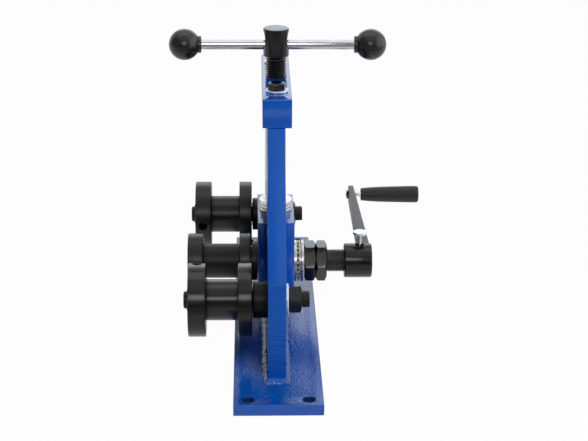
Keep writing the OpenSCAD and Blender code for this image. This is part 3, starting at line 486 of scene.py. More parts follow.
# Between the two: a satin copy of the turned black oxide, rougher, and with a weaker shine that is
# painted shade for the rollers that stand in less light.
blacked_satin_shaded = finish("satin black oxide with painted shade on turned steel", bumps=[(1.6, 0.01)],
                       turned_bumps=[(1.2, 0.02), (6, 0.02)],
                       **{**BLACKED, "IOR": 1.4, "roughness": 0.34})
# The long thread of the shaft: the film is thin on its crests, which shine grey through it.
blacked_worn = finish("worn black oxide on cut thread", base="#2C2A29", tint="#363332", patch_mm=5,
                      bumps=[(1.2, 0.01)], roughness=0.36, rough_spread=0.04, IOR=1.8)
# Threads rolled and blacked: darker, oil sits in the roots.
blacked_thread = finish("black oxide on threads", base="#0A0A0B", tint="#100F0F", patch_mm=6,
                        bumps=[(1.2, 0.01)], roughness=0.34, IOR=1.4)
# Flat bar of the arm: mill scale rubbed down and oiled, an even dull mid grey.
scale_bar = finish("oiled mill scale on flat bar", base="#343436", tint="#3E3E3F", patch_mm=14,
                   bumps=[(3.0, 0.02), (1.0, 0.012)], roughness=0.5, rough_spread=0.06, IOR=1.55)
# Bright zinc plate: clean silver with a faint blue, slightly cloudy.
zinc = finish("bright zinc plate", base="#E9F0FA", tint="#DAE3F0", patch_mm=5, bumps=[(2.0, 0.006)],
              turned_bumps=[(0.9, 0.005)], roughness=0.45, rough_spread=0.05, Metallic=1.0)
# Ground bearing steel: bright and smooth with fine rings.
ground = finish("ground bearing steel", base="#D2D0CC", tint="#C2BFBA", patch_mm=8, bumps=[],
                turned_bumps=[(0.8, 0.003)], roughness=0.3, rough_spread=0.04, Metallic=1.0)
# Turned bearing bronze: warm yellow brown with tool rings.
bronze = finish("turned bearing bronze", base="#B08D57", tint="#8F6B3C", patch_mm=6,
                bumps=[(1.5, 0.008)], turned_bumps=[(0.9, 0.01)], roughness=0.34, rough_spread=0.06,
                Metallic=1.0)
# Stamped steel cage of a ball bearing: greyer than the ground rings, flat grain.
cage_steel = finish("stamped cage steel", base="#6A6A69", tint="#555554", patch_mm=4,
                    bumps=[(1.2, 0.008)], roughness=0.36, rough_spread=0.05, Metallic=1.0)
# Hard chrome on a ground bar: a mirror with the faintest cloud of the grinding.
chrome = finish("hard chrome on ground bar", base="#C8CACC", tint="#BDBFC2", patch_mm=20, bumps=[],
                roughness=0.15, rough_spread=0.02, Metallic=1.0)
# Moulded phenolic of the ball knobs: piano black under a soft polish.
phenolic = finish("polished black phenolic", base="#0B0B0C", tint="#101011", patch_mm=12, bumps=[],
                  roughness=0.29, rough_spread=0.01, IOR=1.5)
# Moulded nylon of the grip: charcoal black, satin, with the fine grain of the mould.
nylon = finish("satin black nylon", base="#0E0E0F", tint="#141414", patch_mm=10, bumps=[(1.1, 0.015)],
               turned_bumps=[(2.5, 0.01)], roughness=0.44, rough_spread=0.05, IOR=1.45)
# Bright turned steel of the small screw and pin: light silver with rings.
bright = finish("bright turned steel", base="#E2E2E2", tint="#CDCDCE", patch_mm=4, bumps=[(1.4, 0.008)],
                turned_bumps=[(0.7, 0.006)], roughness=0.3, rough_spread=0.06, Metallic=1.0)


def stands_for(piece, material, *nodes):
    """The piece rides on the body of the nodes, takes the given material and is shown in their place.
    """
    piece.data.materials.clear()
    piece.data.materials.append(material)
    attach(piece, BODY_OF[nodes[0]])
    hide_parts(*nodes)
    return piece


# Camera. Its place, tilt and focal length were worked out from the edges of the base and the plate.

CAMERA_MM = (-29.9, -1804, 820.6)
CAMERA_YAW_DEG = 1.669
CAMERA_PITCH_DEG = 20.812
CAMERA_ROLL_DEG = 0.43
FOCAL_PX = 1571.0
PHOTO_WIDTH_PX = 588
SENSOR_MM = 36


def make_camera():
    """The camera looks ahead by yaw and pitch, and its right and up are turned by the roll."""
    yaw, pitch, roll = (math.radians(a) for a in (CAMERA_YAW_DEG, CAMERA_PITCH_DEG, CAMERA_ROLL_DEG))
    ahead = Vector((math.sin(yaw) * math.cos(pitch), math.cos(yaw) * math.cos(pitch), -math.sin(pitch)))
    level = Vector((math.cos(yaw), -math.sin(yaw), 0))
    above = level.cross(ahead)
    right = math.cos(roll) * level + math.sin(roll) * above
    up = -math.sin(roll) * level + math.cos(roll) * above
    data = bpy.data.cameras.new("camera")
    data.sensor_width = SENSOR_MM
    data.lens = SENSOR_MM * FOCAL_PX / PHOTO_WIDTH_PX
    data.clip_start = 0.05
    data.clip_end = 60
    camera = placed("camera", data)
    turn = Matrix((right, up, -ahead)).transposed().to_4x4()
    camera.matrix_world = Matrix.Translation([c * MM for c in CAMERA_MM]) @ turn
    bpy.context.scene.camera = camera


make_camera()

# Frame: base, upright plate, weld, cap and its bolts

BASE_CORNER = 1.5
EDGE = 0.9
HOLE_GAUGE, HOLE_INSET, HOLE_R = 68, 14, 7
SLOT_HALF, SLOT_FLOOR = 35, 35
FOOT_TOP = 133
TOP_HALF = 98
# Corner radii of half the upright plate, from its foot up and down into the slot
PLATE_CORNERS = [0.3, 1.0, 1.2, 0.8, 1.0]
AXLE_R = 10


def make_base():
    """A flat bar with four round holes."""
    (x0, y0, z0), (x1, y1, z1) = box("base_plate")
    outline = rounded(rectangle(x0, y0, x1, y1), BASE_CORNER)
    holes = [circle((x * HOLE_GAUGE / 2, y * (y1 - HOLE_INSET)), HOLE_R)
             for x in (-1, 1) for y in (-1, 1)]
    bar = stands_for(plate("base_bar", outline, holes, z0, z1, EDGE, flat), enamel_thick, "base_plate")
    # The walls of the holes, which take the painted shade: faces that lie within a hole's radius of its
    # centre
    bar.data.materials.append(enamel_hole_painted_shade)
    faces = len(bar.data.polygons)
    centre = np.empty(faces * 3)
    bar.data.polygons.foreach_get("center", centre)
    across = np.abs(centre.reshape(-1, 3)[:, :2] / MM) - (HOLE_GAUGE / 2, y1 - HOLE_INSET)
    inside = np.linalg.norm(across, axis=1) < HOLE_R + EDGE / 3
    bar.data.polygons.foreach_set("material_index", inside.astype(np.int32))


def make_upright():
    """A flat plate. Half its outline runs up from the foot, tapers to the top and drops to the slot's
    floor, and the other half mirrors it in y."""
    (x0, y0, z0), (x1, y1, z1) = box("frame_plate")
    right = [(y1, z0), (y1, FOOT_TOP), (TOP_HALF, z1), (SLOT_HALF, z1), (SLOT_HALF, SLOT_FLOOR)]
    outline = right + [(-y, z) for y, z in right[::-1]]
    outline = rounded(outline, PLATE_CORNERS + PLATE_CORNERS[::-1], steps=6)
    y, z = middle("front_sleeve")[1:]
    holes = [circle((side * y, z), AXLE_R) for side in (-1, 1)]
    stands_for(plate("upright_plate", outline, holes, x0, x1, EDGE, upright), enamel_cut, "frame_plate")


WELD_LEG = 6
WELD_CORNER = 0.6
WELD_STEP = 0.8
WELD_RIPPLE_MM, WELD_RIPPLE_H = 3.2, 0.34
WELD_INSET = 0.3
WELD_HOLLOW, WELD_BEND = 0.2, 0.55
WELD_COLUMNS = 11
# Waves of the toes, on the base and on the plate: height, length in mm for each radian, and shift
TOE_WAVES = ((0.5, 23, 0), (0.5, 3.1, 1), (0.4, 1.7, 2))
TOP_WAVES = ((0.5, 31, 1), (0.3, 7.7, 0))
TOE_SHARE, TOP_SHARE = 0.8, 0.6


def sines(s, waves):
    """Sum of height * sin(s / length + shift) over the waves."""
    return sum(height * np.sin(s / length + shift) for height, length, shift in waves)[:, None]


def make_weld():
    """The weld goes round the foot of the plate: a section whose radius is the leg, and 0.8 of it at
    its middle, is carried along the foot's outline. Ripples bend forward across the bead, and the toes
    wander with a sum of sines."""
    (x0, y0, z0), (x1, y1, _) = box("frame_plate")
    path = rounded([(x1, y0), (x1, y1), (x0, y1), (x0, y0)], WELD_CORNER, steps=5)
    ends = np.concatenate([path, path[:1]])
    steps = np.linalg.norm(np.diff(ends, axis=0), axis=1)
    length = np.concatenate([[0], np.cumsum(steps)])
    count = int(length[-1] / WELD_STEP)
    s = np.arange(count) / count * length[-1]
    px = np.interp(s, length, ends[:, 0])
    py = np.interp(s, length, ends[:, 1])
    # Outward direction: from the nearest point of the foot pulled in by the leg, so corners fan out
    out = np.stack([px - np.clip(px, x0 + WELD_LEG, x1 - WELD_LEG),
                    py - np.clip(py, y0 + WELD_LEG, y1 - WELD_LEG)], 1)
    out /= np.linalg.norm(out, axis=1)[:, None]
    a = np.linspace(0, math.pi / 2, WELD_COLUMNS)[None, :]
    toe = (WELD_LEG + sines(s, TOE_WAVES) * np.cos(a) * TOE_SHARE
           + sines(s, TOP_WAVES) * np.sin(a) * TOP_SHARE)
    hollow = 1 - WELD_HOLLOW * np.sin(2 * a) ** 1.2
    phase = s[:, None] / WELD_RIPPLE_MM - WELD_BEND * np.sin(2 * a)
    ripple = WELD_RIPPLE_H * (1 - (phase % 1)) * np.sin(2 * a)
    r = toe * hollow + ripple
    grid = np.empty((count, WELD_COLUMNS + 1, 3))
    grid[:, :-1, 0] = px[:, None] + out[:, :1] * r * np.cos(a)
    grid[:, :-1, 1] = py[:, None] + out[:, 1:] * r * np.cos(a)
    grid[:, :-1, 2] = z0 + r * np.sin(a)
    grid[:, -1] = np.stack([px - out[:, 0] * WELD_INSET, py - out[:, 1] * WELD_INSET, 0 * px + z0], 1)
    grid[:, -2, :2] -= out * WELD_INSET
    stands_for(grid_object("foot_weld", grid, ring=True), enamel_weld, "weld_bead")


CAP_WASHER_R = 13.02
CAP_BOLT_R, CAP_HOLE_R, SCREW_HOLE_R = 6, 6.5, 12.1
BOLT_AF = 18.96
BOLT_TURNS_DEG = (22, -12)
HEX = np.arange(6) / 6 * TAU
# Radius of the flat circle on a hexagon's face, as a share of its width
HEX_FACE_SHARE = 0.475


def make_cap():
    """A flat bar with a hole for the screw and one for each bolt."""
    (x0, y0, z0), (x1, y1, z1) = box("top_cap")
    outline = rounded(rectangle(x0, y0, x1, y1), EDGE, steps=3)
    bolt_y = middle("cap_bolts")[1] + (span("cap_washers", 1)[1] - CAP_WASHER_R)
    holes = [circle((0, 0), SCREW_HOLE_R, 64)]
    holes += [circle((0, side * bolt_y), CAP_HOLE_R) for side in (-1, 1)]
    stands_for(plate("cap_bar", outline, holes, z0, z1, EDGE, flat), enamel, "top_cap")


def hexagon(across, turn_deg, soft=0.5):
    """Hexagon with slightly rounded corners, a corner at the turn's angle."""
    angle = HEX + math.radians(turn_deg)
    r = across / 2 / math.cos(TAU / 12)
    return rounded(np.stack([r * np.cos(angle), r * np.sin(angle)], 1), soft, steps=3)


def hex_piece(name, across, t0, t1, bore, turn_deg, centre, axis, bevels=(1, 1)):
    """A turned blank with its faces bevelled at 30 degrees, kept only inside a hexagonal bar."""
    face = across * HEX_FACE_SHARE
    out = across / 2 / math.cos(TAU / 12) + 1
    rise = (out - face) * math.tan(math.radians(30))
    line = [(t0, bore), (t0, face if bevels[0] else out), (t0 + rise * bevels[0], out),
            (t1 - rise * bevels[1], out), (t1, face if bevels[1] else out), (t1, bore)]
    if axis == "x":
        place = around_x(*centre)
        along = lambda p, h: np.column_stack([h, p[:, 1] + centre[0], p[:, 0] + centre[1]])
    else:
        place = around_z(*centre)
        along = lambda p, h: np.column_stack([p[:, 0] + centre[0], p[:, 1] + centre[1], h])
    if bore:
        blank = turned(name, line, place, 72, ring=True)
    else:
        blank = turned(name, [(t0, 0)] + line[1:-1] + [(t1, 0)], place, 72)
    bar = prism("cutter", hexagon(across, turn_deg), t0 - 1, t1 + 1, along)
    return carve(blank, bar, operation="INTERSECT")


def make_cap_bolts():
    """Each bolt is a hexagon on a turned shank, over a turned washer."""
    z0, z1 = span("cap_bolts", 2)
    washer_z = span("cap_washers", 2)
    y = span("cap_washers", 1)[1] - CAP_WASHER_R
    heads, washers = [], []
    for side, turn in zip((-1, 1), BOLT_TURNS_DEG):
        axis = around_z(0, side * y)
        shank = solid_line(z0, washer_z[1] + 0.5, CAP_BOLT_R, 0.8)
        head = hex_piece("head", BOLT_AF, washer_z[1], z1, 0, turn, (0, side * y), "z", bevels=(0, 1))
        heads += [head, turned("shank", shank, axis, 48)]
        washers.append(turned_ring("washer", axis, 64, *washer_z, CAP_HOLE_R, CAP_WASHER_R, 0.4, 0.3))
    stands_for(joined("cap_bolt_pair", heads), blacked_flat, "cap_bolts")
    stands_for(joined("cap_washer_pair", washers), zinc, "cap_washers")


make_base()
make_upright()
make_weld()
make_cap()
make_cap_bolts()

# Lower axles, with their washers, nuts and retaining rings

AXLE_PITCH = 2.5
# The lower flanges are this much wider than in the CAD, as measured in the photo
OUTER_GROW, INNER_GROW = (0.85, 0.95), 1.3
AXLE_STEP_R, AXLE_COLLAR_R = 15, 21
# Gap between the collar and the inner flange, and the bevels of the collar and of the axle's ends
AXLE_STEP_T, COLLAR_BEVEL, AXLE_BEVEL = 0.6, 0.8, 1.2
RING_GROOVE_R, RING_OUTER_R = 9.4, 12.8
RING_SLOT_R, RING_SLOT_AT = 2.5, 11
FACE_GAP = 0.3
AXLE_WASHER_R = 18.75
AXLE_NUT_AF = 30
NUT_BORE_STEP = 0.9
THREAD_DEPTH_SHARE = 0.56
AXLE_NUT_TURNS_DEG = (8, 19)


def ring_ends():
    """Ends of the retaining rings, moved out with the wider flanges."""
    return [end - OUTER_GROW[0] for end in span("axle_retaining_rings")]


def make_axle(name, node, sleeve):
    """A turned bar: its radius steps along X from the stub end to the ring's groove, the roller's
    seat, the collar and the threaded end."""
    x0, x1 = span(node)
    groove_x = ring_ends()
    groove_end = groove_x[1] + FACE_GAP / 2
    washer_end = span("axle_washers")[1]
    step = span("front_inner_flange")[1] + FACE_GAP
    collar = step + AXLE_STEP_T
    face = span("frame_plate")[0]
    line = rounded([
        (x0, 0), (x0, AXLE_R - AXLE_BEVEL), (x0 + AXLE_BEVEL, AXLE_R), (groove_x[0], AXLE_R),
        (groove_x[0], RING_GROOVE_R), (groove_end, RING_GROOVE_R), (groove_end, AXLE_R),
        (step, AXLE_R), (step, AXLE_STEP_R), (collar, AXLE_STEP_R),
        (collar, AXLE_COLLAR_R - COLLAR_BEVEL), (collar + COLLAR_BEVEL, AXLE_COLLAR_R),
        (face, AXLE_COLLAR_R), (face, AXLE_R), (washer_end, AXLE_R), (x1 - AXLE_BEVEL, AXLE_R),
        (x1, AXLE_R - 1.4), (x1, 0)], 0.25, steps=2, closed=False)
    line = filled(line, washer_end, x1, AXLE_PITCH / 8)
    shape = thread(AXLE_R, AXLE_PITCH * THREAD_DEPTH_SHARE, AXLE_PITCH, washer_end, x1 + 5, -1)
    piece = turned(name, line, around_x(*middle(sleeve)[1:]), 72, shape=shape)
    stands_for(piece, blacked_dull, node)


def make_axle_fittings():
    """On each axle a turned washer, a hexagon nut, and a ring that a round slot cuts open."""
    washer_x, nut_x, ring_x = span("axle_washers"), span("axle_nuts"), ring_ends()
    washers, nuts, rings = [], [], []
    for sleeve, turn in zip(("front_sleeve", "rear_sleeve"), AXLE_NUT_TURNS_DEG):
        y, z = middle(sleeve)[1:]
        axis = around_x(y, z)
        washers.append(turned_ring("washer", axis, 72, *washer_x, AXLE_R + 0.25, AXLE_WASHER_R, 0.5))
        nuts.append(hex_piece("nut", AXLE_NUT_AF, *nut_x, AXLE_R - NUT_BORE_STEP, -turn, (y, z), "x"))
        ring = turned_ring("ring", axis, 64, *ring_x, RING_GROOVE_R, RING_OUTER_R, 0.2, 0.15)
        rings.append(carve(ring, rod((ring_x[0] - 1, y, z - RING_SLOT_AT), (1, 0, 0), RING_SLOT_R, 4)))
    stands_for(joined("axle_washer_pair", washers), zinc, "axle_washers")
    stands_for(joined("axle_nut_pair", nuts), blacked_flat, "axle_nuts")
    stands_for(joined("axle_ring_pair", rings), blacked_flat, "axle_retaining_rings")


make_axle("front_axle_turned", "front_axle", "front_sleeve")
make_axle("rear_axle_turned", "rear_axle", "rear_sleeve")
make_axle_fittings()

# Rollers

RIM_BEVEL, RING_SOFT = 0.8, 0.3
GRUB_R, GRUB_L = 5, 12
GRUB_FLARE, GRUB_FLARE_DEPTH = 3.0, 1.1
GRUB_CLEAR = 0.05
FRONT_GRUB_DEG, REAR_GRUB_DEG, CENTRE_GRUB_DEG = 10, -92.5, 90
LOW_BUSH_R = 14
SEAT_R, JOURNAL_R = 12.5, 15


def ring_piece(name, node, axis, inner, bevel, material, outer=None, segments=128, cutters=(),
               grow=(0, 0)):
    """A ring in the place of a CAD node, which gives its ends and, unless told, its outer radius. grow
    adds to its length at both ends."""
    low, high = box(node)
    outer = outer or max((high - low)[1:]) / 2
    piece = turned_ring(name, around_x(*axis), segments, low[0] - grow[0], high[0] + grow[1],
                        inner, outer, bevel, RING_SOFT)
    if cutters:
        carve(piece, *cutters)
    stands_for(piece, material, node)


def across_x(angle_deg):
    """Direction across the X axis, at an angle from up to the back."""
    a = math.radians(angle_deg)
    return np.array([0, math.sin(a), math.cos(a)])


def grub_hole(node, axis, radius, angle_deg):
    """A threaded hole's cutter with a wide flare at the rim."""
    return rod((middle(node)[0], *axis), across_x(angle_deg), GRUB_R, radius - GRUB_FLARE_DEPTH,
               flare=GRUB_FLARE)


def make_grub(name, node, x, axis, start, radius, length, angle_deg):
    """A socket grub screw, pointing along a radius."""
    d = across_x(angle_deg)
    right = np.array([1.0, 0, 0])
    across = np.array([0, d[2], -d[1]])
    centre = np.array([x, *axis])
    end, outer = start + length, radius - GRUB_CLEAR

    def place(t, r, angle):
        return (centre + t[..., None] * d + (r * np.cos(angle))[..., None] * right
                + (r * np.sin(angle))[..., None] * across)

    def bar(points, heights):
        return centre + heights[:, None] * d + points[:, :1] * right + points[:, 1:] * across
    line = [(start, 0), (start, radius / 2), (start + radius / 2, outer), (end - 0.5, outer),
            (end, radius - 0.6), (end, 0)]
    screw = turned(name, line, place, 48)
    socket = prism("cutter", hexagon(radius, 0, 0.1), start + length * 0.55, end + 1, bar)
    stands_for(carve(screw, socket), blacked_flat, node)


def make_outer_flange(side, axis, bore, skin, segments, grub_deg, grow=(0, 0)):
    """The outer flange of a roller and its grub screw. The hole's flare passes the rim in the node's
    box, so the radius is that of the inner flange."""
    node = side + "_outer_flange"
    radius = radius_of(side + "_inner_flange")
    hole = grub_hole(node, axis, radius, grub_deg)
    ring_piece(side + "_flange_outer", node, axis, bore, RIM_BEVEL, skin, outer=radius,
               segments=segments, grow=grow, cutters=[hole])
    make_grub(side + "_flange_grub", side + "_grub_screw", middle(node)[0], axis, bore, GRUB_R, GRUB_L,
              grub_deg)


def make_low_roller(side, grub_deg, skin):
    """Bush, sleeve and two flanges: rings turned round one axis."""
    axis = middle(side + "_sleeve")[1:]
    ring_piece(side + "_roller_bush", side + "_bush", axis, AXLE_R + 0.05, 0.3, bronze)
    ring_piece(side + "_roller_sleeve", side + "_sleeve", axis, LOW_BUSH_R, 0.2, skin,
               grow=(-OUTER_GROW[1], -INNER_GROW))
    ring_piece(side + "_flange_inner", side + "_inner_flange", axis, LOW_BUSH_R, RIM_BEVEL, skin,
               grow=(INNER_GROW, 0))
    make_outer_flange(side, axis, LOW_BUSH_R, skin, 192, grub_deg, OUTER_GROW)


make_low_roller("front", FRONT_GRUB_DEG, blacked)
# The rear roller takes the satin copy, whose weaker shine is painted shade.
make_low_roller("rear", REAR_GRUB_DEG, blacked_satin_shaded)

shaft_axis = middle("drive_washer")[1:]

ring_piece("centre_roller_spacer", "centre_spacer", shaft_axis, JOURNAL_R, 0.4, blacked_dull)
# The centre flanges take the same satin copy with painted shade.
ring_piece("centre_flange_inner", "centre_inner_flange", shaft_axis, SEAT_R, RIM_BEVEL, blacked_satin_shaded)
ring_piece("centre_roller_sleeve", "centre_sleeve", shaft_axis, SEAT_R, 0.2, blacked_dull)
make_outer_flange("centre", shaft_axis, SEAT_R, blacked_satin_shaded, 160, CENTRE_GRUB_DEG)

# Slide block with its bushes, pins and bearing rings

BLOCK_EDGE = 1.0
GROOVE_GAP, WEB_HALF = 0.15, 34.85
BUSH_R, BUSH_L = 19, 20
PIN_R = 2.5
SPIGOT_HOLE_R, SPIGOT_HOLE_DEPTH = 10.1, 26.2


def make_block():
    """An H in X and Y, whose grooves hold the plate, carried up along Z and bored for the shaft, the
    screw's spigot and its two pins."""
    (x0, y0, z0), (x1, y1, z1) = box("slide_block")
    plate_x = span("frame_plate")
    g0, g1 = plate_x[0] - GROOVE_GAP, plate_x[1] + GROOVE_GAP
    half = [(x1, y1), (g1, y1), (g1, WEB_HALF), (g0, WEB_HALF), (g0, y1), (x0, y1)]
    outline = half + [(x, -y) for x, y in half[::-1]]
    outline = rounded(outline, [BLOCK_EDGE, BLOCK_EDGE, 0.6, 0.6, BLOCK_EDGE, BLOCK_EDGE] * 2, steps=3)
    body = plate("block_body", outline, [], z0, z1, BLOCK_EDGE, flat)
    bore = rod((x0 - 1, *shaft_axis), (1, 0, 0), BUSH_R, x1 - x0 + 2, segments=72)
    spigot = rod((0, 0, z1 + 1), (0, 0, -1), SPIGOT_HOLE_R, SPIGOT_HOLE_DEPTH + 1)
    pin_z = middle("screw_keeper_pins")[2]
    pin_y = span("screw_keeper_pins", 1)[1] - PIN_R
    pin_holes = [rod((x0 - 1, side * pin_y, pin_z), (1, 0, 0), PIN_R, x1 - x0 + 2, segments=24)
                 for side in (-1, 1)]
    stands_for(carve(body, bore, spigot, *pin_holes), enamel, "slide_block")
    pin = solid_line(x0, x1, PIN_R - 0.01, 0.3)
    rods = [turned("pin", pin, around_x(side * pin_y, pin_z), 32) for side in (-1, 1)]
    stands_for(joined("keeper_pin_pair", rods), bright, "screw_keeper_pins")
    bushes = [turned_ring("bush", around_x(*shaft_axis), 72, *ends, JOURNAL_R + 0.05, BUSH_R, 0.3, 0.15)
              for ends in ((x0, x0 + BUSH_L), (x1 - BUSH_L, x1))]
    stands_for(joined("shaft_bush_pair", bushes), bronze, "shaft_bushes")


def race_line(t0, t1, inner, outer, race_t, race_r, ball_r, bevel):
    """Section of a bearing ring: a flat ring with a round groove where the balls run, on the side of
    race_t."""
    near, far = (t1, t0) if abs(race_t - t1) < abs(race_t - t0) else (t0, t1)
    half = math.sqrt(max(ball_r ** 2 - (near - race_t) ** 2, 0))
    a = np.linspace(-1, 1, 9) * math.asin(half / ball_r)
    groove_r = race_r + ball_r * np.sin(a)
    groove_t = race_t + ball_r * np.cos(a) * math.copysign(1, near - race_t)
    step = math.copysign(bevel, near - far)
    rim = [(far, inner), (far, outer - bevel), (far + step, outer), (near - step, outer),
           (near, outer - bevel)]
    return rim + list(zip(groove_t[::-1], groove_r[::-1])) + [(near, inner)]


def balls(count, race_r, radius, place, t):
    """A ring of balls: one sphere of rows and columns, carried to each place."""
    lat = np.linspace(0, math.pi, 13)[:, None]
    lon = np.arange(20)[None, :] / 20 * TAU
    ball = np.stack([np.cos(lat) + 0 * lon, np.sin(lat) * np.sin(lon), np.sin(lat) * np.cos(lon)], -1)
    made = []
    for i in range(count):
        angle = i / count * TAU
        centre = place(np.array(t), np.array(race_r), np.array(angle))
        made.append(grid_object("ball", centre + radius * ball))
    return made


SCREW_RACE_R, SCREW_BALL_R, SCREW_BALLS = 15.4, 3.5, 12
SCREW_CAGE_GAP, SCREW_CAGE_R = 0.8, (12.2, 19.3)
SCREW_RACE_OUTER_R = 20
LOWER_RACE_BORE_R, UPPER_RACE_BORE_R = 10.25, 10
RACE_CLEAR, BLOCK_RACE_GAP = 0.03, 0.25
DRIVE_BALLS = 24
# The shaft ring ends in a step of this length and radius
DRIVE_RING_STEP, DRIVE_STEP_R = 1.08, 20.4


def make_bearings():
    """Two ball bearings: turned rings with a round groove, and balls evenly spaced between them."""
    z_axis = around_z(0, 0)
    lower, upper = span("screw_bearing_lower_ring", 2), span("screw_bearing_upper_ring", 2)
    ball_z = (lower[1] + upper[0]) / 2
    for name, ends, inner in (("lower", lower, LOWER_RACE_BORE_R), ("upper", upper, UPPER_RACE_BORE_R)):
        line = race_line(*ends, inner, SCREW_RACE_OUTER_R, ball_z, SCREW_RACE_R,
                         SCREW_BALL_R + RACE_CLEAR, 0.5)
        race = turned("screw_race_" + name, line, z_axis, 96, ring=True)
        stands_for(race, ground, "screw_bearing_" + name + "_ring")
    screw_balls = balls(SCREW_BALLS, SCREW_RACE_R, SCREW_BALL_R, z_axis, ball_z)
    stands_for(joined("screw_ball_set", screw_balls), ground, "screw_bearing_balls")
    cage = turned_ring("screw_cage_ring", z_axis, 96, lower[1] + SCREW_CAGE_GAP,
                       upper[0] - SCREW_CAGE_GAP, *SCREW_CAGE_R, 0.2, 0.15)
    stands_for(cage, ground, "screw_bearing_cage")
    cage_materials = frame["nodes"]["drive_bearing_cage"].data.materials
    cage_materials.clear()
    cage_materials.append(cage_steel)
    x_axis = around_x(*shaft_axis)
    shaft_x0, shaft_x1 = span("drive_bearing_shaft_ring")
    ball_low, ball_high = box("drive_bearing_balls")
    ball_x = (ball_low + ball_high)[0] / 2
    ball_r = (ball_high - ball_low)[0] / 2
    race_r = (ball_high - ball_low)[2] / 2 - ball_r
    outer = radius_of("drive_bearing_block_ring")
    line = race_line(*span("drive_bearing_block_ring"), JOURNAL_R + BLOCK_RACE_GAP, outer, ball_x,
                     race_r, ball_r + RACE_CLEAR, 0.5)
    block_race = turned("drive_race_block", line, x_axis, 96, ring=True)
    stands_for(block_race, ground, "drive_bearing_block_ring")
    step = shaft_x1 - DRIVE_RING_STEP
    line = race_line(shaft_x0, step, JOURNAL_R, outer, ball_x, race_r, ball_r + RACE_CLEAR, 0.3)
    line = [(shaft_x1, JOURNAL_R), (shaft_x1, DRIVE_STEP_R - 0.2), (shaft_x1 - 0.2, DRIVE_STEP_R),
            (step, DRIVE_STEP_R)] + line[1:]
    shaft_race = turned("drive_race_shaft", line, x_axis, 96, ring=True)
    stands_for(shaft_race, ground, "drive_bearing_shaft_ring")
    set_of_balls = balls(DRIVE_BALLS, race_r, ball_r, x_axis, ball_x)
    stands_for(joined("drive_ball_set", set_of_balls), ground, "drive_bearing_balls")


make_block()
make_bearings()

# Press screw and T handle

SCREW_R, SCREW_PITCH = 12, 3
# The spigot below the thread turns in the slide block; its neck is where the keeper pins hold it
SPIGOT_R, SPIGOT_END_R, NECK_R = 10, 8.7, 7.5
NECK_Z = (134.1, 141.1)
HEAD_R, HEAD_H, HEAD_BEVEL = 15.2, 35.6, 0.9
HOLLOW_R, HOLLOW_Z, HOLLOW_DEPTH = 32.45, 362.36, 2.3
TEE_BAR_R = 6
KNOB_R = 18.4
# From centre to centre of the two balls, and how deep the bar sits in each
KNOB_GAUGE, KNOB_SEAT = 219.5, 3.6
COLLAR_R, COLLAR_T, COLLAR_SINK = 10, 3, 1.5


def make_press_screw():
    """A turned shank with a thread, and a turned head with a round hollow on each side and a cross
    hole for the bar."""
    z0, z1 = span("press_screw", 2)
    shoulder = span("screw_bearing_upper_ring", 2)[1]
    head_z = z1 - HEAD_H
    thread_z, end_z = shoulder + 0.8, head_z + 0.5
    line = rounded([
        (z0, 0), (z0, SPIGOT_END_R), (z0 + 1.3, SPIGOT_R), (NECK_Z[0], SPIGOT_R), (NECK_Z[0], NECK_R),
        (NECK_Z[1], NECK_R), (NECK_Z[1], SPIGOT_R), (shoulder, SPIGOT_R), (shoulder, 11.2),
        (thread_z, SCREW_R), (end_z, SCREW_R), (end_z, 0)], 0.15, steps=2, closed=False)
    line = filled(line, thread_z, end_z, SCREW_PITCH / 8)
    shape = thread(SCREW_R, SCREW_PITCH * THREAD_DEPTH_SHARE, SCREW_PITCH, shoulder, head_z + 0.4, 1)
    shank = turned("press_screw_thread", line, around_z(0, 0), 64, shape=shape)
    stands_for(shank, blacked_thread, "press_screw")
    rise = HEAD_R - SCREW_R
    line = rounded([(head_z, 0), (head_z, SCREW_R - 0.2), (head_z + rise, HEAD_R),
                    (z1 - HEAD_BEVEL, HEAD_R), (z1, HEAD_R - HEAD_BEVEL), (z1, 0)], 0.5, closed=False)
    head = turned("press_screw_head", line, around_z(0, 0), 128)
    hollow_x = HEAD_R - HOLLOW_DEPTH + HOLLOW_R
    hollows = [rod((side * hollow_x, -20, HOLLOW_Z), (0, 1, 0), HOLLOW_R, 40, segments=160)
               for side in (-1, 1)]
    hole = rod((-20, 0, middle("tee_bar")[2]), (1, 0, 0), TEE_BAR_R + 0.05, 40)
    stands_for(carve(head, *hollows, hole), blacked, "press_screw")


def make_tee_handle():
    """A turned bar with a ball at each end. The ball's line is an arc of a circle from the flat seat
    to its pole, and the collar is a turned ring."""
    middle_x, *axis = middle("tee_bar")
    axis = around_x(*axis)
    bar = turned("tee_bar_rod", solid_line(*span("tee_bar"), TEE_BAR_R, 1.0), axis, 64)
    stands_for(bar, chrome, "tee_bar")
    flat_x = span("tee_bar_collars")[1] - middle_x
    ball_x = KNOB_GAUGE / 2
    knobs, collars = [], []
    for side in (-1, 1):
        start = math.acos((ball_x - flat_x) / KNOB_R)
        a = np.linspace(math.pi - start, 0, 49)
        sphere = np.stack([ball_x + KNOB_R * np.cos(a), KNOB_R * np.sin(a)], 1)
        line = np.concatenate([[(flat_x + KNOB_SEAT, TEE_BAR_R), (flat_x, TEE_BAR_R)], sphere[:-1],
                               [(ball_x + KNOB_R, 0), (flat_x + KNOB_SEAT, 0)]])
        line[:, 0] = middle_x + side * line[:, 0]
        knobs.append(turned("knob", line, axis, 96))
        collar = ring_line(flat_x - COLLAR_T, flat_x + COLLAR_SINK, TEE_BAR_R, COLLAR_R, 0.7, 0.4)
        collar[:, 0] = middle_x + side * collar[:, 0]
        collars.append(turned("collar", collar, axis, 64, ring=True))
    stands_for(joined("tee_knob_pair", knobs), phenolic, "tee_bar_knobs")
    stands_for(joined("tee_collar_pair", collars), phenolic, "tee_bar_collars")


make_press_screw()
make_tee_handle()

# Drive shaft with its washer and nuts

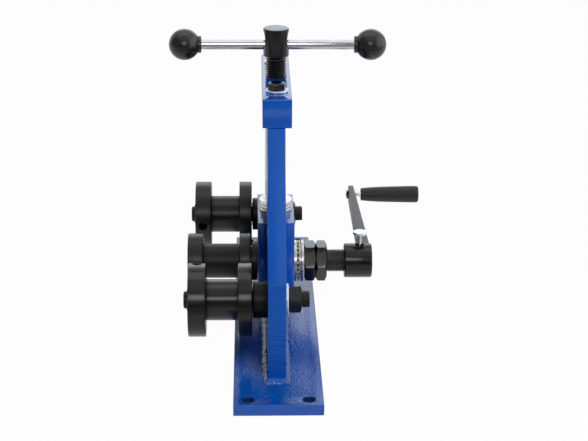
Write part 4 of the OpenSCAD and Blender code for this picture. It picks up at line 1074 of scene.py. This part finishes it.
SHAFT_THREAD_R, SHAFT_PITCH = 14, 2
SHAFT_COLLAR_R, SHAFT_END_R, HUB_SEAT_R = 18, 9.7, 11
SHAFT_BEVEL, SHAFT_COLLAR_T = 1.5, 1.5
JOURNAL_RELIEF = 1.2
KEY_HALF = 4
WASHER_DOT_R, WASHER_DOT_AT, WASHER_DOT_DEG = 1.15, 21.5, -(90 + 10)
NUT_AF = 44


def make_drive_shaft():
    """A turned bar: its radius steps along X from the roller's seat to the collar, the journal, the
    thread and the hub's seat. The key is a flat bar with round ends."""
    x0, x1 = span("drive_shaft")
    hub_x = span("crank_hub")[0]
    journal_end = span("inner_nut")[0] - JOURNAL_RELIEF
    thread_x = journal_end + 0.6
    step_x = span("centre_inner_flange")[1]
    journal_x = step_x + SHAFT_COLLAR_T
    line = rounded([
        (x0, 0), (x0, SEAT_R - SHAFT_BEVEL), (x0 + SHAFT_BEVEL, SEAT_R), (step_x, SEAT_R),
        (step_x, SHAFT_COLLAR_R), (journal_x, SHAFT_COLLAR_R), (journal_x, JOURNAL_R),
        (journal_end, JOURNAL_R), (journal_end, SHAFT_THREAD_R - 0.6), (thread_x, SHAFT_THREAD_R),
        (hub_x, SHAFT_THREAD_R), (hub_x, HUB_SEAT_R), (x1 - 1.3, HUB_SEAT_R), (x1, SHAFT_END_R),
        (x1, 0)], 0.25, steps=2, closed=False)
    line = filled(line, thread_x, hub_x, SHAFT_PITCH / 8)
    shape = thread(SHAFT_THREAD_R, SHAFT_PITCH * THREAD_DEPTH_SHARE, SHAFT_PITCH, journal_end,
                   hub_x + 2.5, -1)
    shaft = turned("drive_shaft_turned", line, around_x(*shaft_axis), 96, shape=shape)
    stands_for(shaft, blacked_worn, "drive_shaft")
    (x0, _, z0), (x1, _, z1) = box("centre_key")
    key = rounded(rectangle(x0, -KEY_HALF, x1, KEY_HALF), KEY_HALF - 0.1, steps=6)
    stands_for(plate("centre_roller_key", key, [], z0, z1, 0.3, flat), bright, "centre_key")


def make_drive_fittings():
    """A turned washer with one small hole in its rim, and two hexagon nuts."""
    washer = turned_ring("drive_washer_turned", around_x(*shaft_axis), 128, *span("drive_washer"),
                         JOURNAL_R, radius_of("drive_washer"), 0.5)
    d = across_x(WASHER_DOT_DEG)
    centre = np.array([middle("drive_washer")[0], *shaft_axis])
    dot = rod(centre + d * WASHER_DOT_AT, d, WASHER_DOT_R, 8, segments=24)
    stands_for(carve(washer, dot), ground, "drive_washer")
    for name, node in (("inner_nut_hex", "inner_nut"), ("lock_nut_hex", "lock_nut")):
        nut = hex_piece(name, NUT_AF, *span(node), SHAFT_THREAD_R - NUT_BORE_STEP, 30, shaft_axis, "x")
        stands_for(nut, blacked_flat, node)


make_drive_shaft()
make_drive_fittings()

# Crank

HUB_R, HUB_BEVEL, HUB_WEB = 21.2, 1.2, 4.1
ARM_ROOT_T, ARM_TIP_T = 13.4, 6.6
ARM_H = 24
THUMB_R, THUMB_SHANK_R = 8.4, 2.5
THUMB_POCKET_R, THUMB_POCKET_DEPTH = 5.6, 6
HUB_GRUB_DEG, HUB_GRUB_SINK = -74, 1.7
THUMB_HEAD_H, THUMB_BEVEL = 4, 0.7
KNURL_COUNT, KNURL_RISE, KNURL_DEPTH = 44, 1.1, 0.45


def make_hub():
    """A turned hub with a blind bore for the shaft, a slot for the arm and a hole for each screw."""
    x0, x1 = span("crank_hub")
    y, z = shaft_axis
    hub = turned("crank_hub_turned", solid_line(x0, x1, HUB_R, HUB_BEVEL, 0.4), around_x(y, z), 128)
    thumb_x = middle("thumb_screw")[0]
    arm_x, seat_y = box("crank_arm")[0][:2]
    grub_x = middle("hub_grub_screw")[0]
    grub_x0, grub_x1 = span("hub_grub_screw")
    grub_r = (grub_x1 - grub_x0) / 2
    slot = rounded(rectangle(seat_y, z - ARM_H / 2, 30, z + ARM_H / 2), 0.3, steps=2)
    slot = prism("cutter", slot, arm_x, arm_x + ARM_ROOT_T, upright)
    carve(hub, rod((x0 - 1, y, z), (1, 0, 0), HUB_SEAT_R, x1 - x0 - HUB_WEB + 1),
          rod((thumb_x, y, z), (0, 0, 1), THUMB_SHANK_R + 0.05, 40, segments=32),
          rod((thumb_x, y, z + HUB_R - THUMB_POCKET_DEPTH), (0, 0, 1), THUMB_POCKET_R, 20),
          rod((grub_x, y, z), across_x(HUB_GRUB_DEG), grub_r, 40, segments=32), slot)
    stands_for(hub, blacked, "crank_hub")
    make_grub("hub_grub_socket", "hub_grub_screw", grub_x, (y, z), HUB_SEAT_R, grub_r,
              HUB_R - HUB_SEAT_R - HUB_GRUB_SINK, HUB_GRUB_DEG)


def make_thumb_screw():
    """Radius of the knurl: the head's, less its depth times the larger of two slanting triangle waves
    that run from 0 to 1, 44 times around the head and once for each 1.1 mm of its height."""
    z0, z1 = span("thumb_screw", 2)
    x, y = middle("thumb_screw")[:2]
    head_z = z1 - THUMB_HEAD_H
    line = solid_line(head_z, z1, THUMB_R, THUMB_BEVEL, steps=2)
    line = filled(line, head_z + THUMB_BEVEL, z1 - THUMB_BEVEL, 0.3)

    def knurl(r, t, angle):
        waves = [np.abs(2 * ((angle / TAU * KNURL_COUNT + slant * t / KNURL_RISE) % 1) - 1)
                 for slant in (-1, 1)]
        return np.where((t > head_z + 0.65) & (t < z1 - 0.65), r - KNURL_DEPTH * np.maximum(*waves), r)
    head = turned("head", line, around_z(x, y), 264, shape=knurl)
    shank_end = head_z + 0.4
    line = rounded([(z0, 0), (z0, THUMB_SHANK_R), (shank_end, THUMB_SHANK_R), (shank_end, 0)], 0.1,
                   steps=2, closed=False)
    line = filled(line, z0, head_z, 0.125)
    shape = thread(THUMB_SHANK_R, 0.5, 1.0, z0 - 1, head_z - 2.4, 1)
    shank = turned("shank", line, around_z(x, y), 48, shape=shape)
    stands_for(joined("thumb_screw_knurled", [head, shank]), bright, "thumb_screw")


def make_arm():
    """A flat bar: its outline in Y and Z narrows from hub to tip, and its thickness in X shrinks in
    step with y, from the root's to the tip's."""
    (x0, y0, _), (_, y1, _) = box("crank_arm")
    z = shaft_axis[1]
    pin_y = middle("crank_grip")[1]
    half = ARM_H / 2
    a = np.linspace(-math.pi / 2, math.pi / 2, 25)
    tip = np.stack([pin_y + half * np.cos(a), half * np.sin(a)], 1)
    outline = np.concatenate([[(y0, half), (y0, -half), (HUB_R, -half)], tip, [(HUB_R, half)]])
    outline[:, 1] += z

    def place(points, heights):
        share = np.clip((points[:, 0] - HUB_R) / (pin_y - HUB_R), 0, 1)
        thickness = ARM_ROOT_T + (ARM_TIP_T - ARM_ROOT_T) * share
        return np.column_stack([x0 + heights * thickness / ARM_ROOT_T, points])
    hole = circle((pin_y, z), PIN_THREAD_R, 32)
    arm = plate("crank_arm_bar", outline, [hole], 0, ARM_ROOT_T, 0.8, place)
    stands_for(arm, scale_bar, "crank_arm")


# The grip's outline: shares of its length, and of its largest radius, from the arm to its rounded end
GRIP_ALONG = (0, 0.012, 0.1, 0.2, 0.34, 0.52, 0.7, 0.88, 0.96, 0.988, 1, 1)
GRIP_ACROSS = (0.688, 0.748, 0.81, 0.865, 0.912, 0.944, 0.975, 1, 1, 0.96, 0.86, 0)
GRIP_SOFT = (0.2, 0.4, 0.8, 20, 60, 60, 60, 60, 60, 8, 1.2, 1.0, 0, 0, 0.2)
GRIP_BORE, GRIP_BORE_R = 0.83, 4.05
PIN_THREAD_R, PIN_END_R, PIN_COLLAR_R, PIN_SHANK_R = 3.2, 2.6, 4.6, 4
PIN_COLLAR_SHARE = 0.34
PIN_NUT_AF, PIN_NUT_BORE_R = 10.4, 3.1
SNAP_RING_R = (3.4, 5)


def make_grip():
    """Grip, pin and snap ring are lines of (length along X, radius) turned round the pin's axis."""
    x0, x1 = span("crank_grip")
    y, z = middle("crank_grip")[1:]
    axis = around_x(y, z)
    along = np.array([*GRIP_ALONG, GRIP_BORE, GRIP_BORE])
    radius = radius_of("crank_grip") * np.array([*GRIP_ACROSS, 0, 0])
    radius[-1] = GRIP_BORE_R
    line = np.stack([x0 + along * (x1 - x0), radius], 1)
    line = rounded(np.concatenate([[(x0, GRIP_BORE_R)], line]), list(GRIP_SOFT), steps=6)
    line = np.roll(line, -int(np.argmin(np.abs(line - (x1, 0)).sum(1))), 0)[::-1]
    stands_for(turned("crank_grip_moulded", line, axis, 96), nylon, "crank_grip")
    pin_x0, pin_x1 = span("grip_pin")
    face = span("crank_arm")[0] + ARM_TIP_T
    collar = face + (x0 - face) * PIN_COLLAR_SHARE
    line = rounded([
        (pin_x0, 0), (pin_x0, PIN_END_R), (pin_x0 + 0.6, PIN_THREAD_R), (face, PIN_THREAD_R),
        (face, PIN_COLLAR_R), (collar - 0.5, PIN_COLLAR_R), (collar, PIN_COLLAR_R - 0.5),
        (collar, PIN_THREAD_R), (x0, PIN_THREAD_R), (x0 + 0.3, PIN_SHANK_R),
        (pin_x1 - 0.6, PIN_SHANK_R), (pin_x1, PIN_SHANK_R - 0.6), (pin_x1, 0)],
        0.25, steps=3, closed=False)
    stands_for(turned("grip_pin_turned", line, axis, 48), bright, "grip_pin")
    nut = hex_piece("grip_pin_hex", PIN_NUT_AF, *span("grip_pin_nut"), PIN_NUT_BORE_R, 30, (y, z), "x")
    stands_for(nut, blacked_flat, "grip_pin_nut")
    ring = turned_ring("grip_snap_wire", axis, 48, *span("grip_snap_ring"), *SNAP_RING_R, 0.2, 0.15)
    stands_for(ring, bright, "grip_snap_ring")


make_hub()
make_thumb_screw()
make_arm()
make_grip()

# Studio: a plain white floor, soft lamps that only matt colour sees, and cards that only gloss sees,
# so that dark metal has a dark horizon, a lamp and a pale floor to mirror, as in the photograph

FLOOR_SIZE = 16
FLOOR_GLOW = 0.97
WORLD_FILL = 0.07
FLOOR_GREY, FLOOR_GREY_NEAR, FLOOR_SCREEN_EDGE = 0.16, 0.8, -0.09
ROOM_X, ROOM_FRONT, ROOM_SIDE_END, ROOM_BACK, ROOM_TOP = 2.8, -3.0, 1.2, 4.4, 3.4
ROOM_FOOT = 0.002
HORIZON_TOP = 0.6
COLD, COLDER = "#F2F8FF", "#ECF6FF"


def ray_mask(tree):
    """One for rays from the camera, from gloss and through glass, and zero for soft light."""
    rays = add(tree, "ShaderNodeLightPath").outputs
    both = add(tree, "ShaderNodeMath", {0: rays["Is Camera Ray"], 1: rays["Is Glossy Ray"]},
               operation="MAXIMUM")
    mask = add(tree, "ShaderNodeMath", {0: both.outputs[0], 1: rays["Is Transmission Ray"]},
               operation="MAXIMUM")
    return mask.outputs[0]


def staged(name, corners, material):
    """A flat card from four corners, with its material."""
    mesh = bpy.data.meshes.new(name)
    mesh.from_pydata(corners, [], [(0, 1, 2, 3)])
    mesh.materials.append(material)
    thing = placed(name, mesh)
    return thing


def make_floor():
    """A level card: white to the camera and to gloss, and matt to soft light."""
    material = bpy.data.materials.new("white studio floor")
    tree = empty_tree(material)
    glow = add(tree, "ShaderNodeEmission", {"Color": (1, 1, 1, 1), "Strength": 1.0})
    matt = add(tree, "ShaderNodeBsdfDiffuse", {"Color": linear("#F4F4F4")})
    share = add(tree, "ShaderNodeMath", {0: ray_mask(tree), 1: FLOOR_GLOW}, operation="MULTIPLY")
    mix = add(tree, "ShaderNodeMixShader",
              {0: share.outputs[0], 1: matt.outputs[0], 2: glow.outputs[0]})
    add(tree, "ShaderNodeOutputMaterial", {"Surface": mix.outputs[0]})
    half = FLOOR_SIZE / 2
    staged("floor", level(half, -half, half, 0), material)


def wall(x0, x1, y, z0, z1, lean=0):
    """Corners of a card that stands across the view, its top edge further back by the lean."""
    return [(x0, y, z0), (x1, y, z0), (x1, y + lean, z1), (x0, y + lean, z1)]


def side_wall(x):
    """Corners of a card along one side of the room."""
    return [(x, ROOM_FRONT, ROOM_FOOT), (x, ROOM_SIDE_END, ROOM_FOOT), (x, ROOM_SIDE_END, ROOM_TOP),
            (x, ROOM_FRONT, ROOM_TOP)]


def level(x, y0, y1, z):
    """Corners of a level card, as wide to the left as to the right."""
    return [(-x, y0, z), (x, y0, z), (x, y1, z), (-x, y1, z)]


def make_screen(name, corners, grey, near=None, colour="#FFFFFF"):
    """A glowing grey card that only gloss sees. With near, its grey falls smoothly from that value,
    within 0.3 m in front of the object, to its own, from 0.65 m on."""
    material = bpy.data.materials.new(name)
    tree = empty_tree(material)
    glow = add(tree, "ShaderNodeEmission", {"Color": linear(colour), "Strength": grey})
    if near:
        place = add(tree, "ShaderNodeTexCoord").outputs["Object"]
        axes = add(tree, "ShaderNodeSeparateXYZ", {0: place})
        fall = add(tree, "ShaderNodeMapRange",
                   {"Value": axes.outputs["Y"], "From Min": -0.65, "From Max": -0.3, "To Min": grey,
                    "To Max": near}, interpolation_type="SMOOTHSTEP")
        tree.links.new(fall.outputs["Result"], glow.inputs["Strength"])
    add(tree, "ShaderNodeOutputMaterial", {"Surface": glow.outputs[0]})
    screen = staged(name, corners, material)
    screen.visible_camera = False
    screen.visible_diffuse = False
    screen.visible_shadow = False
    screen.visible_transmission = False


def make_light(name, place, target, size, power):
    """A soft lamp that only matt colour sees."""
    data = bpy.data.lights.new(name, "AREA")
    data.shape = "RECTANGLE"
    data.size, data.size_y = size
    data.energy = power
    light = placed(name, data)
    light.location = place
    light.rotation_euler = (Vector(target) - Vector(place)).to_track_quat("-Z", "Y").to_euler()
    light.visible_glossy = False


def make_world():
    """A plain white world, dimmed for soft light."""
    world = bpy.data.worlds.new("studio")
    bpy.context.scene.world = world
    tree = empty_tree(world)
    strength = add(tree, "ShaderNodeMapRange",
                   {"Value": ray_mask(tree), "To Min": WORLD_FILL, "To Max": 1.0})
    glow = add(tree, "ShaderNodeBackground", {"Color": (1, 1, 1, 1), "Strength": strength.outputs[0]})
    add(tree, "ShaderNodeOutputWorld", {"Surface": glow.outputs[0]})


make_floor()
make_world()
make_screen("screen_front_low", wall(-ROOM_X, ROOM_X, ROOM_FRONT, ROOM_FOOT, HORIZON_TOP), 0.12)
make_screen("screen_front", wall(-ROOM_X, ROOM_X, ROOM_FRONT, HORIZON_TOP, ROOM_TOP), 0.28)
make_screen("screen_floor", level(ROOM_X, ROOM_FRONT, FLOOR_SCREEN_EDGE, ROOM_FOOT), FLOOR_GREY,
            near=FLOOR_GREY_NEAR)
make_screen("sheet_in_front", level(ROOM_X, -1.6, -0.9, 2 * ROOM_FOOT), 0.8)
make_screen("screen_left", side_wall(-ROOM_X), 0.3)
make_screen("screen_right", side_wall(ROOM_X), 1.9)
make_screen("screen_ceiling", level(ROOM_X, ROOM_FRONT, ROOM_BACK, ROOM_TOP), 0.85)
make_screen("card_above", level(0.95, -0.2, 0.75, 1.9), 1.75)
make_screen("lamp_in_front", wall(-0.6, 0.3, -2.1, 0.95, 1.55, lean=0.1), 5.2)
make_screen("card_behind", wall(-1.2, 2.0, 3.2, 0.9, 1.35), 2.4, colour=COLD)
make_screen("card_behind_high", wall(-1.0, 2.0, 3.2, 1.35, 2.5), 2.2, colour=COLDER)
make_screen("screen_behind", wall(-ROOM_X, ROOM_X, 3.3, ROOM_FOOT, 0.9), 0.9)
make_light("overhead", (0, 0, 1.9), (0, 0, 0.1), (1.2, 1.2), 4)
make_light("front", (0.6, -1.75, 1.7), (0, 0, 0.15), (1.2, 0.9), 40)

bpy.context.scene.view_settings.view_transform = "Standard"
